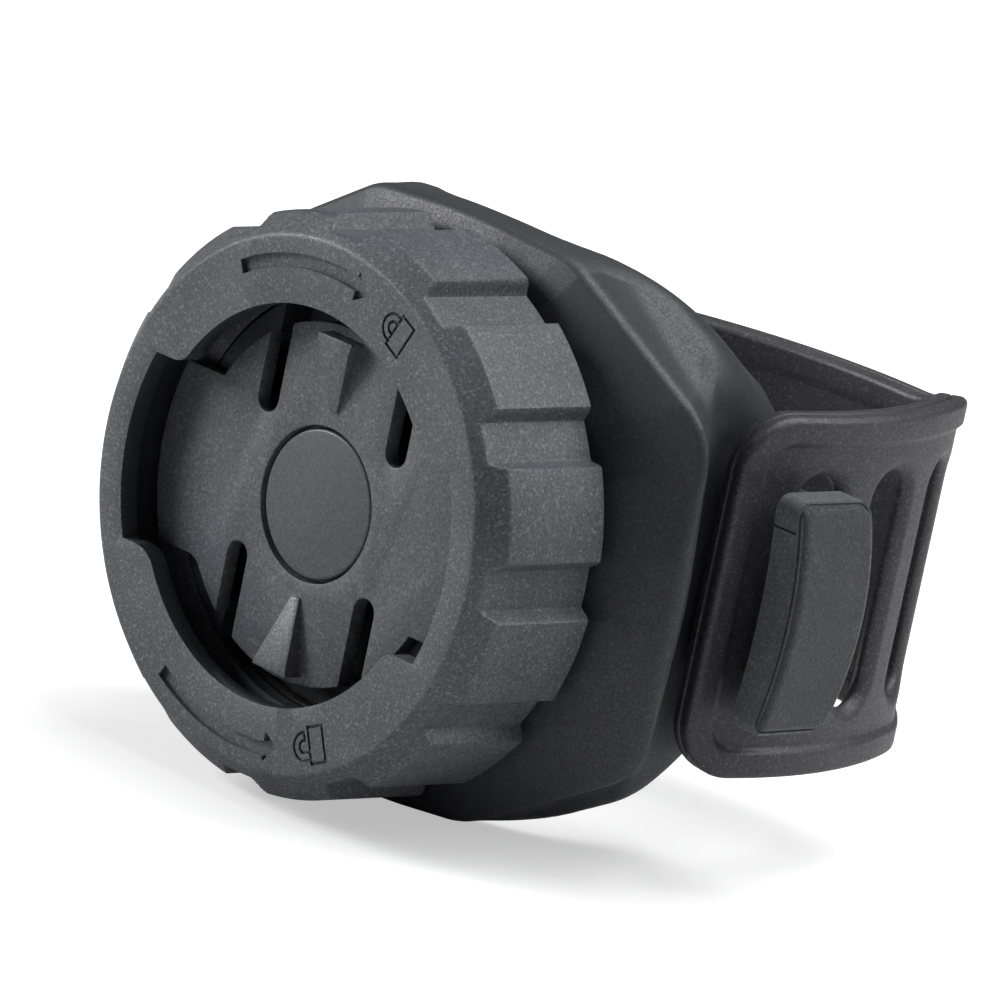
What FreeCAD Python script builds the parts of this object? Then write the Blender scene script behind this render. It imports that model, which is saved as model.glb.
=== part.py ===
import FreeCAD, Part
import math
import os
import Sketcher
from FreeCAD import Vector

# A bike computer mount that is strapped to a handlebar. The bar runs along Z, the computer
# sits in front of it at -Y, and the strap is hooked at +X. The origin is on the axis of the
# bar, half way along the mount. Depths are counted back from the front face of the collar.
doc = FreeCAD.newDocument("bike_computer_mount")

SIZES = {
    # Handlebar seat
    "bar_radius": 15.9,
    "bar_clearance": 0.05,
    "pad_thickness": 1.45,
    "pad_half_angle": 80,
    "pad_rim_inset": 1.0,
    "pad_groove_radius": 0.4,
    "pad_groove_pitch": 16,
    "pad_brim_drop": 0.3,
    "pad_bend_setback": 3.2,
    "pad_groove_margin": 0.3,
    "face_to_bar": 35,
    # Twist collar
    "face_radius": 22,
    "tooth_radius_front": 23.9,
    "tooth_radius_rear": 24.3,
    "tooth_count": 12,
    "valley_radius": 22.9,
    "valley_half_floor": 1.7,
    "valley_half_mouth": 2.45,
    "tooth_fillet": 0.45,
    "bevel_depth": 1.9,
    "collar_length": 12.7,
    "lip_thickness": 1.8,
    "lip_radius": 16.5,
    "lobe_radius": 19.4,
    "lobe_height_nose": 7.7,
    "lobe_height_round": 8.3,
    "lobe_nose_fillet": 1.9,
    "lobe_round_fillet": 3.0,
    "cavity_radius": 20.6,
    "rib_radius": 17.6,
    "rib_thickness": 1.4,
    "skirt_radius": 20.8,
    "twist_angle": 60,
    "stop_half_width": 2.7,
    "stop_radius": 19.1,
    "stop_depth": 9.2,
    "stop_length": 2.2,
    "stop_slack_angle": 1.2,
    "stop_root": 0.6,
    "stop_end_gap": 0.3,
    "notch_radius": 0.9,
    # Receiver plate
    "plate_depth": 3.7,
    "plate_thickness": 1.5,
    "plate_radius": 15,
    "ear_radius": 19,
    "ear_height_square": 7.0,
    "ear_height_round": 8.4,
    "ear_fillet": 2.2,
    "slot_offset": 7.75,
    "slot_radius": 1.2,
    "slot_end": 6.8,
    "ramp_start": 7.9,
    "ramp_end": 14.2,
    "ramp_tip_half": 0.5,
    "ramp_broad_half": 2.05,
    "ramp_height": 1.6,
    "ramp_tip_height": 0.2,
    "ramp_end_wall": 0.6,
    "boss_radius": 7.6,
    "boss_length": 3.6,
    "boss_floor": 1.4,
    "post_offset_x": 11.3,
    "post_offset_z": 4.2,
    "post_radius": 2.1,
    # Centre cap, screw, washer and threaded insert
    "cap_radius": 6.2,
    "cap_gap": 0.3,
    "cap_sink": 0.2,
    "cap_thickness": 1.0,
    "cap_edge": 0.15,
    "screw_radius": 2.0,
    "screw_clearance": 0.2,
    "screw_head_radius": 3.6,
    "screw_head_height": 1.6,
    "screw_head_flat_radius": 2.2,
    "screw_head_dome_radius": 3.3,
    "screw_head_dome_drop": 0.5,
    "screw_edge": 0.4,
    "screw_length": 8.0,
    "screw_socket": 1.25,
    "screw_socket_depth": 1.0,
    "washer_radius": 4.3,
    "washer_thickness": 0.8,
    "washer_clearance": 0.3,
    "insert_radius": 2.9,
    "insert_length": 6.0,
    "insert_sink": 0.2,
    "insert_groove_depth": 0.3,
    "insert_groove_start": 2.4,
    "insert_groove_end": 3.6,
    # Four screws that hold the plate from behind
    "tap_radius": 1.25,
    "tap_clearance": 0.15,
    "tap_head_radius": 2.4,
    "tap_head_height": 1.6,
    "tap_head_depth": 15,
    "tap_tip_gap": 1.4,
    "tap_pilot_relief": 0.2,
    "tap_head_clearance": 0.3,
    "tap_cross_length": 2.6,
    "tap_cross_width": 0.6,
    "tap_cross_depth": 0.8,
    # Hub of the body
    "running_gap": 0.3,
    "bore_gap": 0.4,
    "cup_radius": 14.6,
    "cup_floor_depth": 11.5,
    "hub_post_radius": 5.4,
    "window_half_width": 9.3,
    "window_depth": 8.3,
    "shoulder_gap": 1.7,
    "glide_thickness": 0.6,
    "glide_preload": 0.05,
    "glide_bore_gap": 0.2,
    "glide_rim_gap": 0.3,
    "spring_radial_gap": 0.3,
    "spring_rim_gap": 0.5,
    "spring_end_play": 0.01,
    "wave_count": 3,
    "wave_sheet": 0.3,
    "seal_radius": 0.55,
    "seal_depth": 12.5,
    "seal_proud": 0.08,
    "seal_groove_gap": 0.02,
    "leaf_sheet": 0.4,
    "leaf_half_length": 4.8,
    "leaf_width": 2.0,
    "leaf_pocket_gap": 0.2,
    "leaf_inset": 2.3,
    "leaf_rise": 0.5,
    "leaf_pocket_depth": 2.4,
    "leaf_bend_share": 0.5,
    # Shell of the body
    "shell_front_depth": 12.9,
    "shell_dome_slope": 0.42,
    "shell_edge_room": 0.05,
    "shell_dome_play": 0.2,
    "shell_shoulder_wide": 0.40,
    "shell_shoulder_high": 0.958,
    "shell_flank_wide": 0.965,
    "shell_flank_high": 0.575,
    "horn_setback": 1.4,
    "shell_half_width": 29.6,
    "shell_half_height": 25.2,
    "shell_corner_radius": 7,
    "shell_side_radius": 60,
    "brim_share": 0.45,
    "brim_narrowing": 0.5,
    "brim_drop": 0.5,
    "brim_shoulder_wide": 0.50,
    "brim_shoulder_high": 0.968,
    "shell_waist_depth": 24,
    "shell_waist_half_width": 23.9,
    "waist_fall": 0.167,
    "waist_corner_radius": 6.5,
    "waist_shoulder_wide": 0.66,
    "waist_shoulder_high": 0.945,
    "waist_flank_wide": 0.955,
    "waist_flank_high": 0.775,
    "horn_thickness": 5.5,
    "shell_rear_half_height": 16.2,
    "rear_corner_radius": 4,
    "rear_shoulder_wide": 0.78,
    "rear_shoulder_high": 0.965,
    "rear_flank_wide": 0.965,
    "rear_flank_high": 0.76,
    "shell_edge_fillet": 1.0,
    # Strap with its hook and pin
    "strap_thickness": 2.8,
    "strap_half_width": 15.5,
    "band_half_width": 13.8,
    "strap_slot_count": 3,
    "strap_slot_radius": 2.35,
    "strap_slot_half": 10.3,
    "strap_slot_pitch": 9.2,
    "strap_first_slot": 9.0,
    "strap_start_gap": 2.6,
    "strap_start_setback": 9.4,
    "strap_start_angle": 73.2,
    "tab_bend_ratio": 0.824,
    "tab_turn_angle": 41.8,
    "corner_bend_ratio": 0.176,
    "corner_turn_angle": 58.4,
    "back_bend_ratio": 0.945,
    "back_turn_angle": 41.6,
    "far_bend_ratio": 0.374,
    "far_turn_angle": 48.8,
    "shoulder_taper": 5.5,
    "eye_half_width": 9.4,
    "eye_shoulder_gap": 0.6,
    "strap_corner": 5.0,
    "pin_radius": 1.5,
    "pin_half_length": 12.0,
    "pin_inset": 2.9,
    "pin_setback": 2.6,
    "pin_chamfer": 0.3,
    "eye_wall": 0.8,
    "eye_clearance": 0.05,
    "eye_room": 0.3,
    "hook_neck_half": 8.5,
    "hook_neck_thickness": 2.4,
    "hook_neck_setback": 1.3,
    "hook_head_half": 10.0,
    "hook_head_length": 8.6,
    "hook_head_setback": 0.3,
    "hook_head_bow": 1.5,
    "hook_reach": 7.4,
    "hook_head_thickness": 3.6,
    "hook_crown": 0.7,
    "hook_root_inset": 3.3,
    "hook_root_length": 4.8,
    "hook_root_recess": 0.1,
    "hook_fit": 0.05,
    "hook_fillet": 0.7,
    # How far a cutting shape runs past what it cuts, and a length longer than the whole mount
    "cut_past": 1.0,
    "clear_through": 160,
}

sheet = doc.addObject("Spreadsheet::Sheet", "Sizes")
for row, (alias, number) in enumerate(SIZES.items(), start=1):
    sheet.set("A%d" % row, alias)
    sheet.set("B%d" % row, str(number))
    sheet.setAlias("B%d" % row, alias)
doc.recompute()


def size(alias):
    """The value that the sheet holds under a name, in millimetres, degrees or as a count."""
    return float(sheet.get(alias))


def plain(formula):
    """The number that a formula gives."""
    return float(sheet.evalExpression(formula))


def bind(thing, field, formula):
    """Ties a property to a formula in which every size is written as Sizes.name."""
    thing.setExpression(field, formula)


def depth(formula):
    """The Y of a plane that lies this far behind the collar's face."""
    return "%s - Sizes.face_to_bar" % formula


def depth_y(millimetres):
    """The same, as a number."""
    return millimetres - size("face_to_bar")


def new_body(name):
    body = doc.addObject("PartDesign::Body", name)
    body.Label = name
    return body


def new_sketch(body, name, role):
    """An empty sketch on one of the body's own origin planes."""
    sketch = body.newObject("Sketcher::SketchObject", name)
    plane = [item for item in body.Origin.OriginFeatures if item.Role == role][0]
    sketch.AttachmentSupport = [(plane, "")]
    sketch.MapMode = "FlatFace"
    return sketch


def short_arc(start, end, radius, left):
    """The short arc between two points, bulging to the left or the right of the way it runs."""
    half = (end - start).Length / 2
    side = Vector(-(end - start).y, (end - start).x, 0).normalize()
    inset = math.sqrt(max(radius * radius - half * half, 0))
    centre = (start + end) * 0.5 + side * (-inset if left else inset)
    first, last = (end, start) if left else (start, end)
    turns = [math.atan2(point.y - centre.y, point.x - centre.x) for point in (first, last)]
    if turns[1] < turns[0]:
        turns[1] += 2 * math.pi
    return Part.ArcOfCircle(Part.Circle(centre, Vector(0, 0, 1), radius), turns[0], turns[1])


def draw_loop(sketch, corners, bends=None):
    """Draws a closed outline through corners given as pairs of formulas.

    bends maps the number of an edge to the formula of its radius and to True where the arc
    bulges to the left of the way that the outline runs.
    """
    bends = bends or {}
    first = sketch.GeometryCount
    points = [Vector(plain(u), plain(v), 0) for u, v in corners]
    count = len(points)
    backward = [number in bends and bends[number][1] for number in range(count)]
    for number in range(count):
        start, end = points[number], points[(number + 1) % count]
        if number in bends:
            radius, left = bends[number]
            sketch.addGeometry(short_arc(start, end, plain(radius), left), False)
        else:
            sketch.addGeometry(Part.LineSegment(start, end), False)
    for number in range(count):
        follower = (number + 1) % count
        tail = 1 if backward[number] else 2
        head = 2 if backward[follower] else 1
        sketch.addConstraint(Sketcher.Constraint("Coincident", first + number, tail, first + follower, head))
    for number, (u, v) in enumerate(corners):
        head = 2 if backward[number] else 1
        for kind, formula, value in (("DistanceX", u, points[number].x), ("DistanceY", v, points[number].y)):
            rule = sketch.addConstraint(Sketcher.Constraint(kind, -1, 1, first + number, head, value))
            sketch.setExpression("Constraints[%d]" % rule, formula)
    for number, (radius, left) in bends.items():
        rule = sketch.addConstraint(Sketcher.Constraint("Radius", first + number, plain(radius)))
        sketch.setExpression("Constraints[%d]" % rule, radius)


def draw_circle(sketch, u, v, radius):
    """Draws a circle whose centre and radius are formulas."""
    centre = Vector(plain(u), plain(v), 0)
    number = sketch.addGeometry(Part.Circle(centre, Vector(0, 0, 1), plain(radius)), False)
    rules = (("DistanceX", u, centre.x), ("DistanceY", v, centre.y))
    for kind, formula, value in rules:
        rule = sketch.addConstraint(Sketcher.Constraint(kind, -1, 1, number, 3, value))
        sketch.setExpression("Constraints[%d]" % rule, formula)
    rule = sketch.addConstraint(Sketcher.Constraint("Radius", number, plain(radius)))
    sketch.setExpression("Constraints[%d]" % rule, radius)


def turned(body, name, section, cut=False):
    """Turns a half section, given as pairs of radius and depth formulas, about the Y axis."""
    sketch = new_sketch(body, name + "_section", "XY_Plane")
    draw_loop(sketch, [(radius, depth(place)) for radius, place in section])
    kind = "PartDesign::Groove" if cut else "PartDesign::Revolution"
    feature = body.newObject(kind, name)
    feature.Profile = sketch
    feature.ReferenceAxis = (sketch, ["V_Axis"])
    feature.Angle = 360
    body.Tip = feature
    return feature


def flat_sketch(body, name, place):
    """A sketch on a plane square to the Y axis: X to the right, Z up, at a depth."""
    sketch = new_sketch(body, name, "XZ_Plane")
    bind(sketch, "AttachmentOffset.Base.z", "Sizes.face_to_bar - (%s)" % place)
    return sketch


def pad_back(body, name, sketch, length):
    """Pads a flat sketch away from the viewer."""
    feature = body.newObject("PartDesign::Pad", name)
    feature.Profile = sketch
    feature.Reversed = True
    bind(feature, "Length", length)
    body.Tip = feature
    return feature


def pocket_back(body, name, sketch, length):
    """Cuts a flat sketch away from the viewer."""
    feature = body.newObject("PartDesign::Pocket", name)
    feature.Profile = sketch
    feature.Reversed = False
    bind(feature, "Length", length)
    body.Tip = feature
    return feature


def round_pattern(body, name, features, sketch, count, angle=360):
    """Repeats features about the collar's axis."""
    pattern = body.newObject("PartDesign::PolarPattern", name)
    pattern.Originals = features
    pattern.Axis = (sketch, ["N_Axis"])
    pattern.Angle = angle
    bind(pattern, "Occurrences", count)
    body.Tip = pattern
    return pattern


def fillet_edges(body, name, base, radius, wanted):
    """Rounds every edge of a feature that the test picks out."""
    doc.recompute()
    names = ["Edge%d" % (n + 1) for n, edge in enumerate(base.Shape.Edges) if wanted(edge)]
    feature = body.newObject("PartDesign::Fillet", name)
    feature.Base = (base, names)
    bind(feature, "Radius", radius)
    body.Tip = feature
    return feature


def is_axial(edge):
    """True for a straight edge that runs along Y."""
    if not isinstance(edge.Curve, Part.Line):
        return False
    return abs(abs(edge.tangentAt(edge.FirstParameter).y) - 1) < 0.02


def reach(point):
    """Distance of a point from the collar's axis."""
    return math.hypot(point.x, point.z)


pieces = []


def keep(node):
    pieces.append(node)
    return node


# Depths that follow from the stack of plate, rib and rings
PLATE_BACK = "(Sizes.plate_depth + Sizes.plate_thickness)"
RIB_FRONT = "(%s + Sizes.running_gap)" % PLATE_BACK
RIB_BACK = "(%s + Sizes.rib_thickness)" % RIB_FRONT
SHOULDER = "(%s + Sizes.shoulder_gap)" % RIB_BACK
HUB_NECK = "(Sizes.rib_radius - Sizes.bore_gap)"
HUB_RADIUS = "(Sizes.skirt_radius - Sizes.bore_gap)"
BOSS_BACK = "(%s + Sizes.boss_length)" % PLATE_BACK
CAP_BACK = "(Sizes.plate_depth + Sizes.cap_sink + Sizes.cap_thickness)"
WASHER_BACK = "(%s - Sizes.boss_floor)" % BOSS_BACK
HEAD_BACK = "(%s - Sizes.washer_thickness)" % WASHER_BACK
SEAL_CENTRE = "(%s - Sizes.seal_radius + Sizes.seal_proud)" % HUB_RADIUS
EYE_RADIUS = "(Sizes.pin_radius + Sizes.eye_clearance + Sizes.eye_wall)"
SADDLE_RADIUS = "(Sizes.bar_radius + Sizes.bar_clearance + Sizes.pad_thickness)"
HORN_WIDTH = "(%s + Sizes.horn_thickness)" % SADDLE_RADIUS
HORN_END = "(Sizes.face_to_bar - Sizes.horn_setback)"
SHELL_EDGE = ("(Sizes.shell_front_depth + Sizes.shell_edge_room + Sizes.shell_dome_slope * (sqrt("
              "(Sizes.shell_flank_wide * Sizes.shell_half_width)^2 + "
              "(Sizes.shell_flank_high * Sizes.shell_half_height)^2) - Sizes.skirt_radius + Sizes.bore_gap))")
PIN_X = "(%s - Sizes.pin_inset)" % HORN_WIDTH
PIN_DEPTH = "(%s - Sizes.pin_setback)" % HORN_END
STRAP_START_X = "(%s + Sizes.strap_start_gap)" % HORN_WIDTH
STRAP_START = "(%s - Sizes.strap_start_setback)" % HORN_END
NECK_DEPTH = "(%s - Sizes.hook_neck_setback)" % HORN_END
ROOT_FRONT = "(%s - Sizes.hook_root_length)" % HORN_END
ROOT_X = "(%s - Sizes.hook_root_inset)" % HORN_WIDTH
HEAD_REAR = "(%s - Sizes.hook_head_setback)" % HORN_END
HEAD_X = "(%s + Sizes.hook_reach)" % HORN_WIDTH


# The twist collar: a turned ring with a bayonet lip, a rib inside that the plate's ears hold
# down, two stop lugs, click notches and twelve grip teeth
def make_collar():
    collar = new_body("locking_collar")
    ring = turned(collar, "collar_ring", [
        ("Sizes.lip_radius", "0"),
        ("Sizes.face_radius", "0"),
        ("Sizes.tooth_radius_front", "Sizes.bevel_depth"),
        ("Sizes.tooth_radius_rear", "Sizes.collar_length"),
        ("Sizes.skirt_radius", "Sizes.collar_length"),
        ("Sizes.skirt_radius", RIB_BACK),
        ("Sizes.rib_radius", RIB_BACK),
        ("Sizes.rib_radius", RIB_FRONT),
        ("Sizes.cavity_radius", RIB_FRONT),
        ("Sizes.cavity_radius", "Sizes.lip_thickness"),
        ("Sizes.lip_radius", "Sizes.lip_thickness"),
    ])
    doc.recompute()
    lobe = flat_sketch(collar, "lobe_outline", "-Sizes.cut_past")
    nose = "sqrt(Sizes.lobe_radius^2 - Sizes.lobe_height_nose^2)"
    round_side = "sqrt(Sizes.lobe_radius^2 - Sizes.lobe_height_round^2)"
    draw_loop(lobe, [
        ("0", "-Sizes.lobe_height_nose"),
        (nose, "-Sizes.lobe_height_nose"),
        (round_side, "Sizes.lobe_height_round"),
        ("0", "Sizes.lobe_height_round"),
    ], {1: ("Sizes.lobe_radius", False)})
    lobe_cut = pocket_back(collar, "lobe", lobe, "Sizes.lip_thickness + 1.5 * Sizes.cut_past")
    lobes = round_pattern(collar, "lobes", [lobe_cut], lobe, "2")
    doc.recompute()

    def lip_corner(edge, height):
        """The corner between a lobe's flank and the lip's arc."""
        if not is_axial(edge):
            return False
        middle = edge.CenterOfMass
        on_lip = abs(reach(middle) - size("lip_radius")) < 0.05
        return on_lip and abs(abs(middle.z) - size(height)) < 0.05

    rounded = fillet_edges(collar, "lip_noses", lobes, "Sizes.lobe_nose_fillet",
                           lambda edge: lip_corner(edge, "lobe_height_nose"))
    rounded = fillet_edges(collar, "lip_rounds", rounded, "Sizes.lobe_round_fillet",
                           lambda edge: lip_corner(edge, "lobe_height_round"))
    valley = flat_sketch(collar, "valley_outline", "-Sizes.cut_past")
    mouth = "(Sizes.tooth_radius_rear + Sizes.cut_past)"
    spread = "(Sizes.valley_half_mouth - Sizes.valley_half_floor)"
    climb = "(Sizes.tooth_radius_rear - Sizes.valley_radius)"
    outer = "(Sizes.valley_half_mouth + Sizes.cut_past * %s / %s)" % (spread, climb)
    draw_loop(valley, [
        ("Sizes.valley_radius", "-Sizes.valley_half_floor"),
        (mouth, "-" + outer),
        (mouth, outer),
        ("Sizes.valley_radius", "Sizes.valley_half_floor"),
    ])
    gap = pocket_back(collar, "valley", valley, "Sizes.collar_length + 2 * Sizes.cut_past")
    teeth = round_pattern(collar, "teeth", [gap], valley, "Sizes.tooth_count")
    doc.recompute()
    stop = flat_sketch(collar, "stop_outline", "Sizes.stop_depth")
    draw_loop(stop, [
        ("-Sizes.stop_half_width", "Sizes.stop_radius"),
        ("Sizes.stop_half_width", "Sizes.stop_radius"),
        ("Sizes.stop_half_width", "Sizes.skirt_radius + Sizes.stop_root"),
        ("-Sizes.stop_half_width", "Sizes.skirt_radius + Sizes.stop_root"),
    ])
    lug = pad_back(collar, "stop_lug", stop, "Sizes.stop_length")
    lugs = round_pattern(collar, "stop_lugs", [lug], stop, "2")
    doc.recompute()
    notch = flat_sketch(collar, "notch_outline", "Sizes.stop_depth")
    draw_circle(notch, "Sizes.skirt_radius", "0", "Sizes.notch_radius")
    draw_circle(notch, "Sizes.skirt_radius * cos(Sizes.twist_angle)",
                "Sizes.skirt_radius * sin(Sizes.twist_angle)", "Sizes.notch_radius")
    click = pocket_back(collar, "click_notch", notch, "Sizes.collar_length")
    clicks = round_pattern(collar, "click_notches", [click], notch, "2")
    doc.recompute()

    def tooth_flank(edge):
        """The foot and the crest of a tooth's flank."""
        middle = edge.CenterOfMass
        lengthwise = abs(edge.tangentAt(edge.FirstParameter).y) > 0.9
        return lengthwise and reach(middle) > size("valley_radius") - 0.2 and edge.Length > 6

    fillet_edges(collar, "tooth_rounds", clicks, "Sizes.tooth_fillet", tooth_flank)
    return keep(collar)


# The receiver plate: a moulded disc with two ears, four slots that free two springy tongues,
# a ramp on each tongue, a central boss and four screw posts behind
def make_plate():
    plate = new_body("receiver_plate")
    face = flat_sketch(plate, "plate_outline", "Sizes.plate_depth")
    low_ear = "sqrt(Sizes.ear_radius^2 - Sizes.ear_height_square^2)"
    high_ear = "sqrt(Sizes.ear_radius^2 - Sizes.ear_height_round^2)"
    low_root = "sqrt(Sizes.plate_radius^2 - Sizes.ear_height_square^2)"
    high_root = "sqrt(Sizes.plate_radius^2 - Sizes.ear_height_round^2)"
    top = "Sizes.plate_radius"
    draw_loop(face, [
        (low_root, "-Sizes.ear_height_square"),
        (low_ear, "-Sizes.ear_height_square"),
        (high_ear, "Sizes.ear_height_round"),
        (high_root, "Sizes.ear_height_round"),
        ("0", top),
        ("-" + low_root, "Sizes.ear_height_square"),
        ("-" + low_ear, "Sizes.ear_height_square"),
        ("-" + high_ear, "-Sizes.ear_height_round"),
        ("-" + high_root, "-Sizes.ear_height_round"),
        ("0", "-" + top),
    ], {1: ("Sizes.ear_radius", False), 3: (top, False), 4: (top, False),
        6: ("Sizes.ear_radius", False), 8: (top, False), 9: (top, False)})
    disc = pad_back(plate, "disc", face, "Sizes.plate_thickness")
    doc.recompute()

    def ear_root(edge):
        """The inside corner on the rounded side of each ear."""
        if not is_axial(edge):
            return False
        middle = edge.CenterOfMass
        on_arc = abs(reach(middle) - size("plate_radius")) < 0.05
        return on_arc and abs(abs(middle.z) - size("ear_height_round")) < 0.05

    fillet_edges(plate, "ear_rounds", disc, "Sizes.ear_fillet", ear_root)
    boss = flat_sketch(plate, "boss_outline", PLATE_BACK)
    draw_circle(boss, "0", "0", "Sizes.boss_radius")
    pad_back(plate, "boss", boss, "Sizes.boss_length")
    posts = flat_sketch(plate, "post_outline", PLATE_BACK)
    for side_x in ("", "-"):
        for side_z in ("", "-"):
            spot = (side_x + "Sizes.post_offset_x", side_z + "Sizes.post_offset_z")
            draw_circle(posts, *spot, "Sizes.post_radius")
    pad_back(plate, "posts", posts, "Sizes.cup_floor_depth - %s" % PLATE_BACK)
    doc.recompute()
    slots = flat_sketch(plate, "slot_outline", "Sizes.plate_depth - Sizes.cut_past")
    for side_x in (1, -1):
        for side_z in (1, -1):
            inner = "%d * (Sizes.slot_offset - Sizes.slot_radius)" % side_x
            outer = "%d * (Sizes.slot_offset + Sizes.slot_radius)" % side_x
            end = "%d * Sizes.slot_end" % side_z
            mouth = "%d * (Sizes.plate_radius + Sizes.cut_past)" % side_z
            tip = ("%d * Sizes.slot_offset" % side_x,
                   "%d * (Sizes.slot_end - Sizes.slot_radius)" % side_z)
            outwards = side_x * side_z < 0
            draw_loop(slots, [(inner, mouth), (inner, end), tip, (outer, end), (outer, mouth)],
                      {1: ("Sizes.slot_radius", outwards), 2: ("Sizes.slot_radius", outwards)})
    pocket_back(plate, "slots", slots, "Sizes.plate_thickness + 1.5 * Sizes.cut_past")
    doc.recompute()
    ramps = flat_sketch(plate, "ramp_outline", "Sizes.plate_depth - Sizes.ramp_height")
    for side in (1, -1):
        draw_loop(ramps, [
            ("-Sizes.ramp_tip_half", "%d * Sizes.ramp_start" % side),
            ("Sizes.ramp_tip_half", "%d * Sizes.ramp_start" % side),
            ("Sizes.ramp_broad_half", "%d * Sizes.ramp_end" % side),
            ("-Sizes.ramp_broad_half", "%d * Sizes.ramp_end" % side),
        ])
    pad_back(plate, "ramps", ramps, "Sizes.ramp_height + Sizes.plate_thickness / 3")
    doc.recompute()
    slope = new_sketch(plate, "slope_outline", "YZ_Plane")
    front = depth("Sizes.plate_depth - Sizes.ramp_height - Sizes.cut_past")
    low = depth("Sizes.plate_depth - Sizes.ramp_tip_height")
    high = depth("Sizes.plate_depth - Sizes.ramp_height")
    for side in (1, -1):
        draw_loop(slope, [
            (front, "%d * Sizes.ramp_start" % side),
            (low, "%d * Sizes.ramp_start" % side),
            (high, "%d * (Sizes.ramp_end - Sizes.ramp_end_wall)" % side),
            (front, "%d * (Sizes.ramp_end - Sizes.ramp_end_wall)" % side),
        ])
    cut = plate.newObject("PartDesign::Pocket", "ramp_slopes")
    cut.Profile = slope
    cut.Midplane = True
    bind(cut, "Length", "Sizes.ramp_broad_half * 3")
    plate.Tip = cut
    turned(plate, "screw_seat", [
        ("0", "Sizes.plate_depth - Sizes.cut_past"),
        ("Sizes.cap_radius + Sizes.cap_gap", "Sizes.plate_depth - Sizes.cut_past"),
        ("Sizes.cap_radius + Sizes.cap_gap", CAP_BACK),
        ("Sizes.washer_radius + Sizes.washer_clearance", CAP_BACK),
        ("Sizes.washer_radius + Sizes.washer_clearance", WASHER_BACK),
        ("Sizes.screw_radius + Sizes.screw_clearance", WASHER_BACK),
        ("Sizes.screw_radius + Sizes.screw_clearance", "%s + Sizes.cut_past" % BOSS_BACK),
        ("0", "%s + Sizes.cut_past" % BOSS_BACK),
    ], cut=True)
    pilot_front = PLATE_BACK + " + Sizes.tap_tip_gap - Sizes.tap_pilot_relief"
    pilots = flat_sketch(plate, "pilot_outline", pilot_front)
    for side_x in ("", "-"):
        for side_z in ("", "-"):
            spot = (side_x + "Sizes.post_offset_x", side_z + "Sizes.post_offset_z")
            draw_circle(pilots, *spot, "Sizes.tap_radius")
    pocket_back(plate, "pilots", pilots, "Sizes.cup_floor_depth")
    return keep(plate)


# The cap that covers the centre screw: a plain pressed disc with a broken edge
def make_cap():
    cap = new_body("centre_cap")
    front = "(Sizes.plate_depth + Sizes.cap_sink)"
    turned(cap, "cap_disc", [
        ("0", front),
        ("Sizes.cap_radius - Sizes.cap_edge", front),
        ("Sizes.cap_radius", front + " + Sizes.cap_edge"),
        ("Sizes.cap_radius", CAP_BACK),
        ("0", CAP_BACK),
    ])
    return keep(cap)


# The centre screw: a button head with a hexagon socket, and its shank in the threaded insert
def make_centre_screw():
    screw = new_body("centre_screw")
    head_front = "(%s - Sizes.screw_head_height)" % HEAD_BACK
    turned(screw, "screw_blank", [
        ("0", head_front),
        ("Sizes.screw_head_flat_radius", head_front),
        ("Sizes.screw_head_dome_radius", head_front + " + Sizes.screw_head_dome_drop"),
        ("Sizes.screw_head_radius", HEAD_BACK + " - Sizes.screw_edge"),
        ("Sizes.screw_head_radius", HEAD_BACK),
        ("Sizes.screw_radius", HEAD_BACK),
        ("Sizes.screw_radius", HEAD_BACK + " + Sizes.screw_length - Sizes.screw_edge"),
        ("Sizes.screw_radius - Sizes.screw_edge", HEAD_BACK + " + Sizes.screw_length"),
        ("0", HEAD_BACK + " + Sizes.screw_length"),
    ])
    socket = flat_sketch(screw, "socket_outline", head_front + " - Sizes.cut_past")
    corners = []
    for corner in range(6):
        turn = corner * 360 / 6
        corners.append(("Sizes.screw_socket * cos(%d)" % turn, "Sizes.screw_socket * sin(%d)" % turn))
    draw_loop(socket, corners)
    pocket_back(screw, "socket", socket, "Sizes.screw_socket_depth + Sizes.cut_past")
    return keep(screw)


def make_washer():
    washer = new_body("centre_washer")
    turned(washer, "washer_ring", [
        ("Sizes.screw_radius + Sizes.screw_clearance", HEAD_BACK),
        ("Sizes.washer_radius", HEAD_BACK),
        ("Sizes.washer_radius", WASHER_BACK),
        ("Sizes.screw_radius + Sizes.screw_clearance", WASHER_BACK),
    ])
    return keep(washer)


# The brass insert set into the hub's post, with one holding groove around it
def make_insert():
    insert = new_body("centre_insert")
    front = "(%s + Sizes.insert_sink)" % BOSS_BACK
    groove = "Sizes.insert_radius - Sizes.insert_groove_depth"
    turned(insert, "insert_sleeve", [
        ("Sizes.screw_radius", front),
        ("Sizes.insert_radius", front),
        ("Sizes.insert_radius", front + " + Sizes.insert_groove_start"),
        (groove, front + " + Sizes.insert_groove_start"),
        (groove, front + " + Sizes.insert_groove_end"),
        ("Sizes.insert_radius", front + " + Sizes.insert_groove_end"),
        ("Sizes.insert_radius", front + " + Sizes.insert_length"),
        ("Sizes.screw_radius", front + " + Sizes.insert_length"),
    ])
    return keep(insert)


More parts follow.
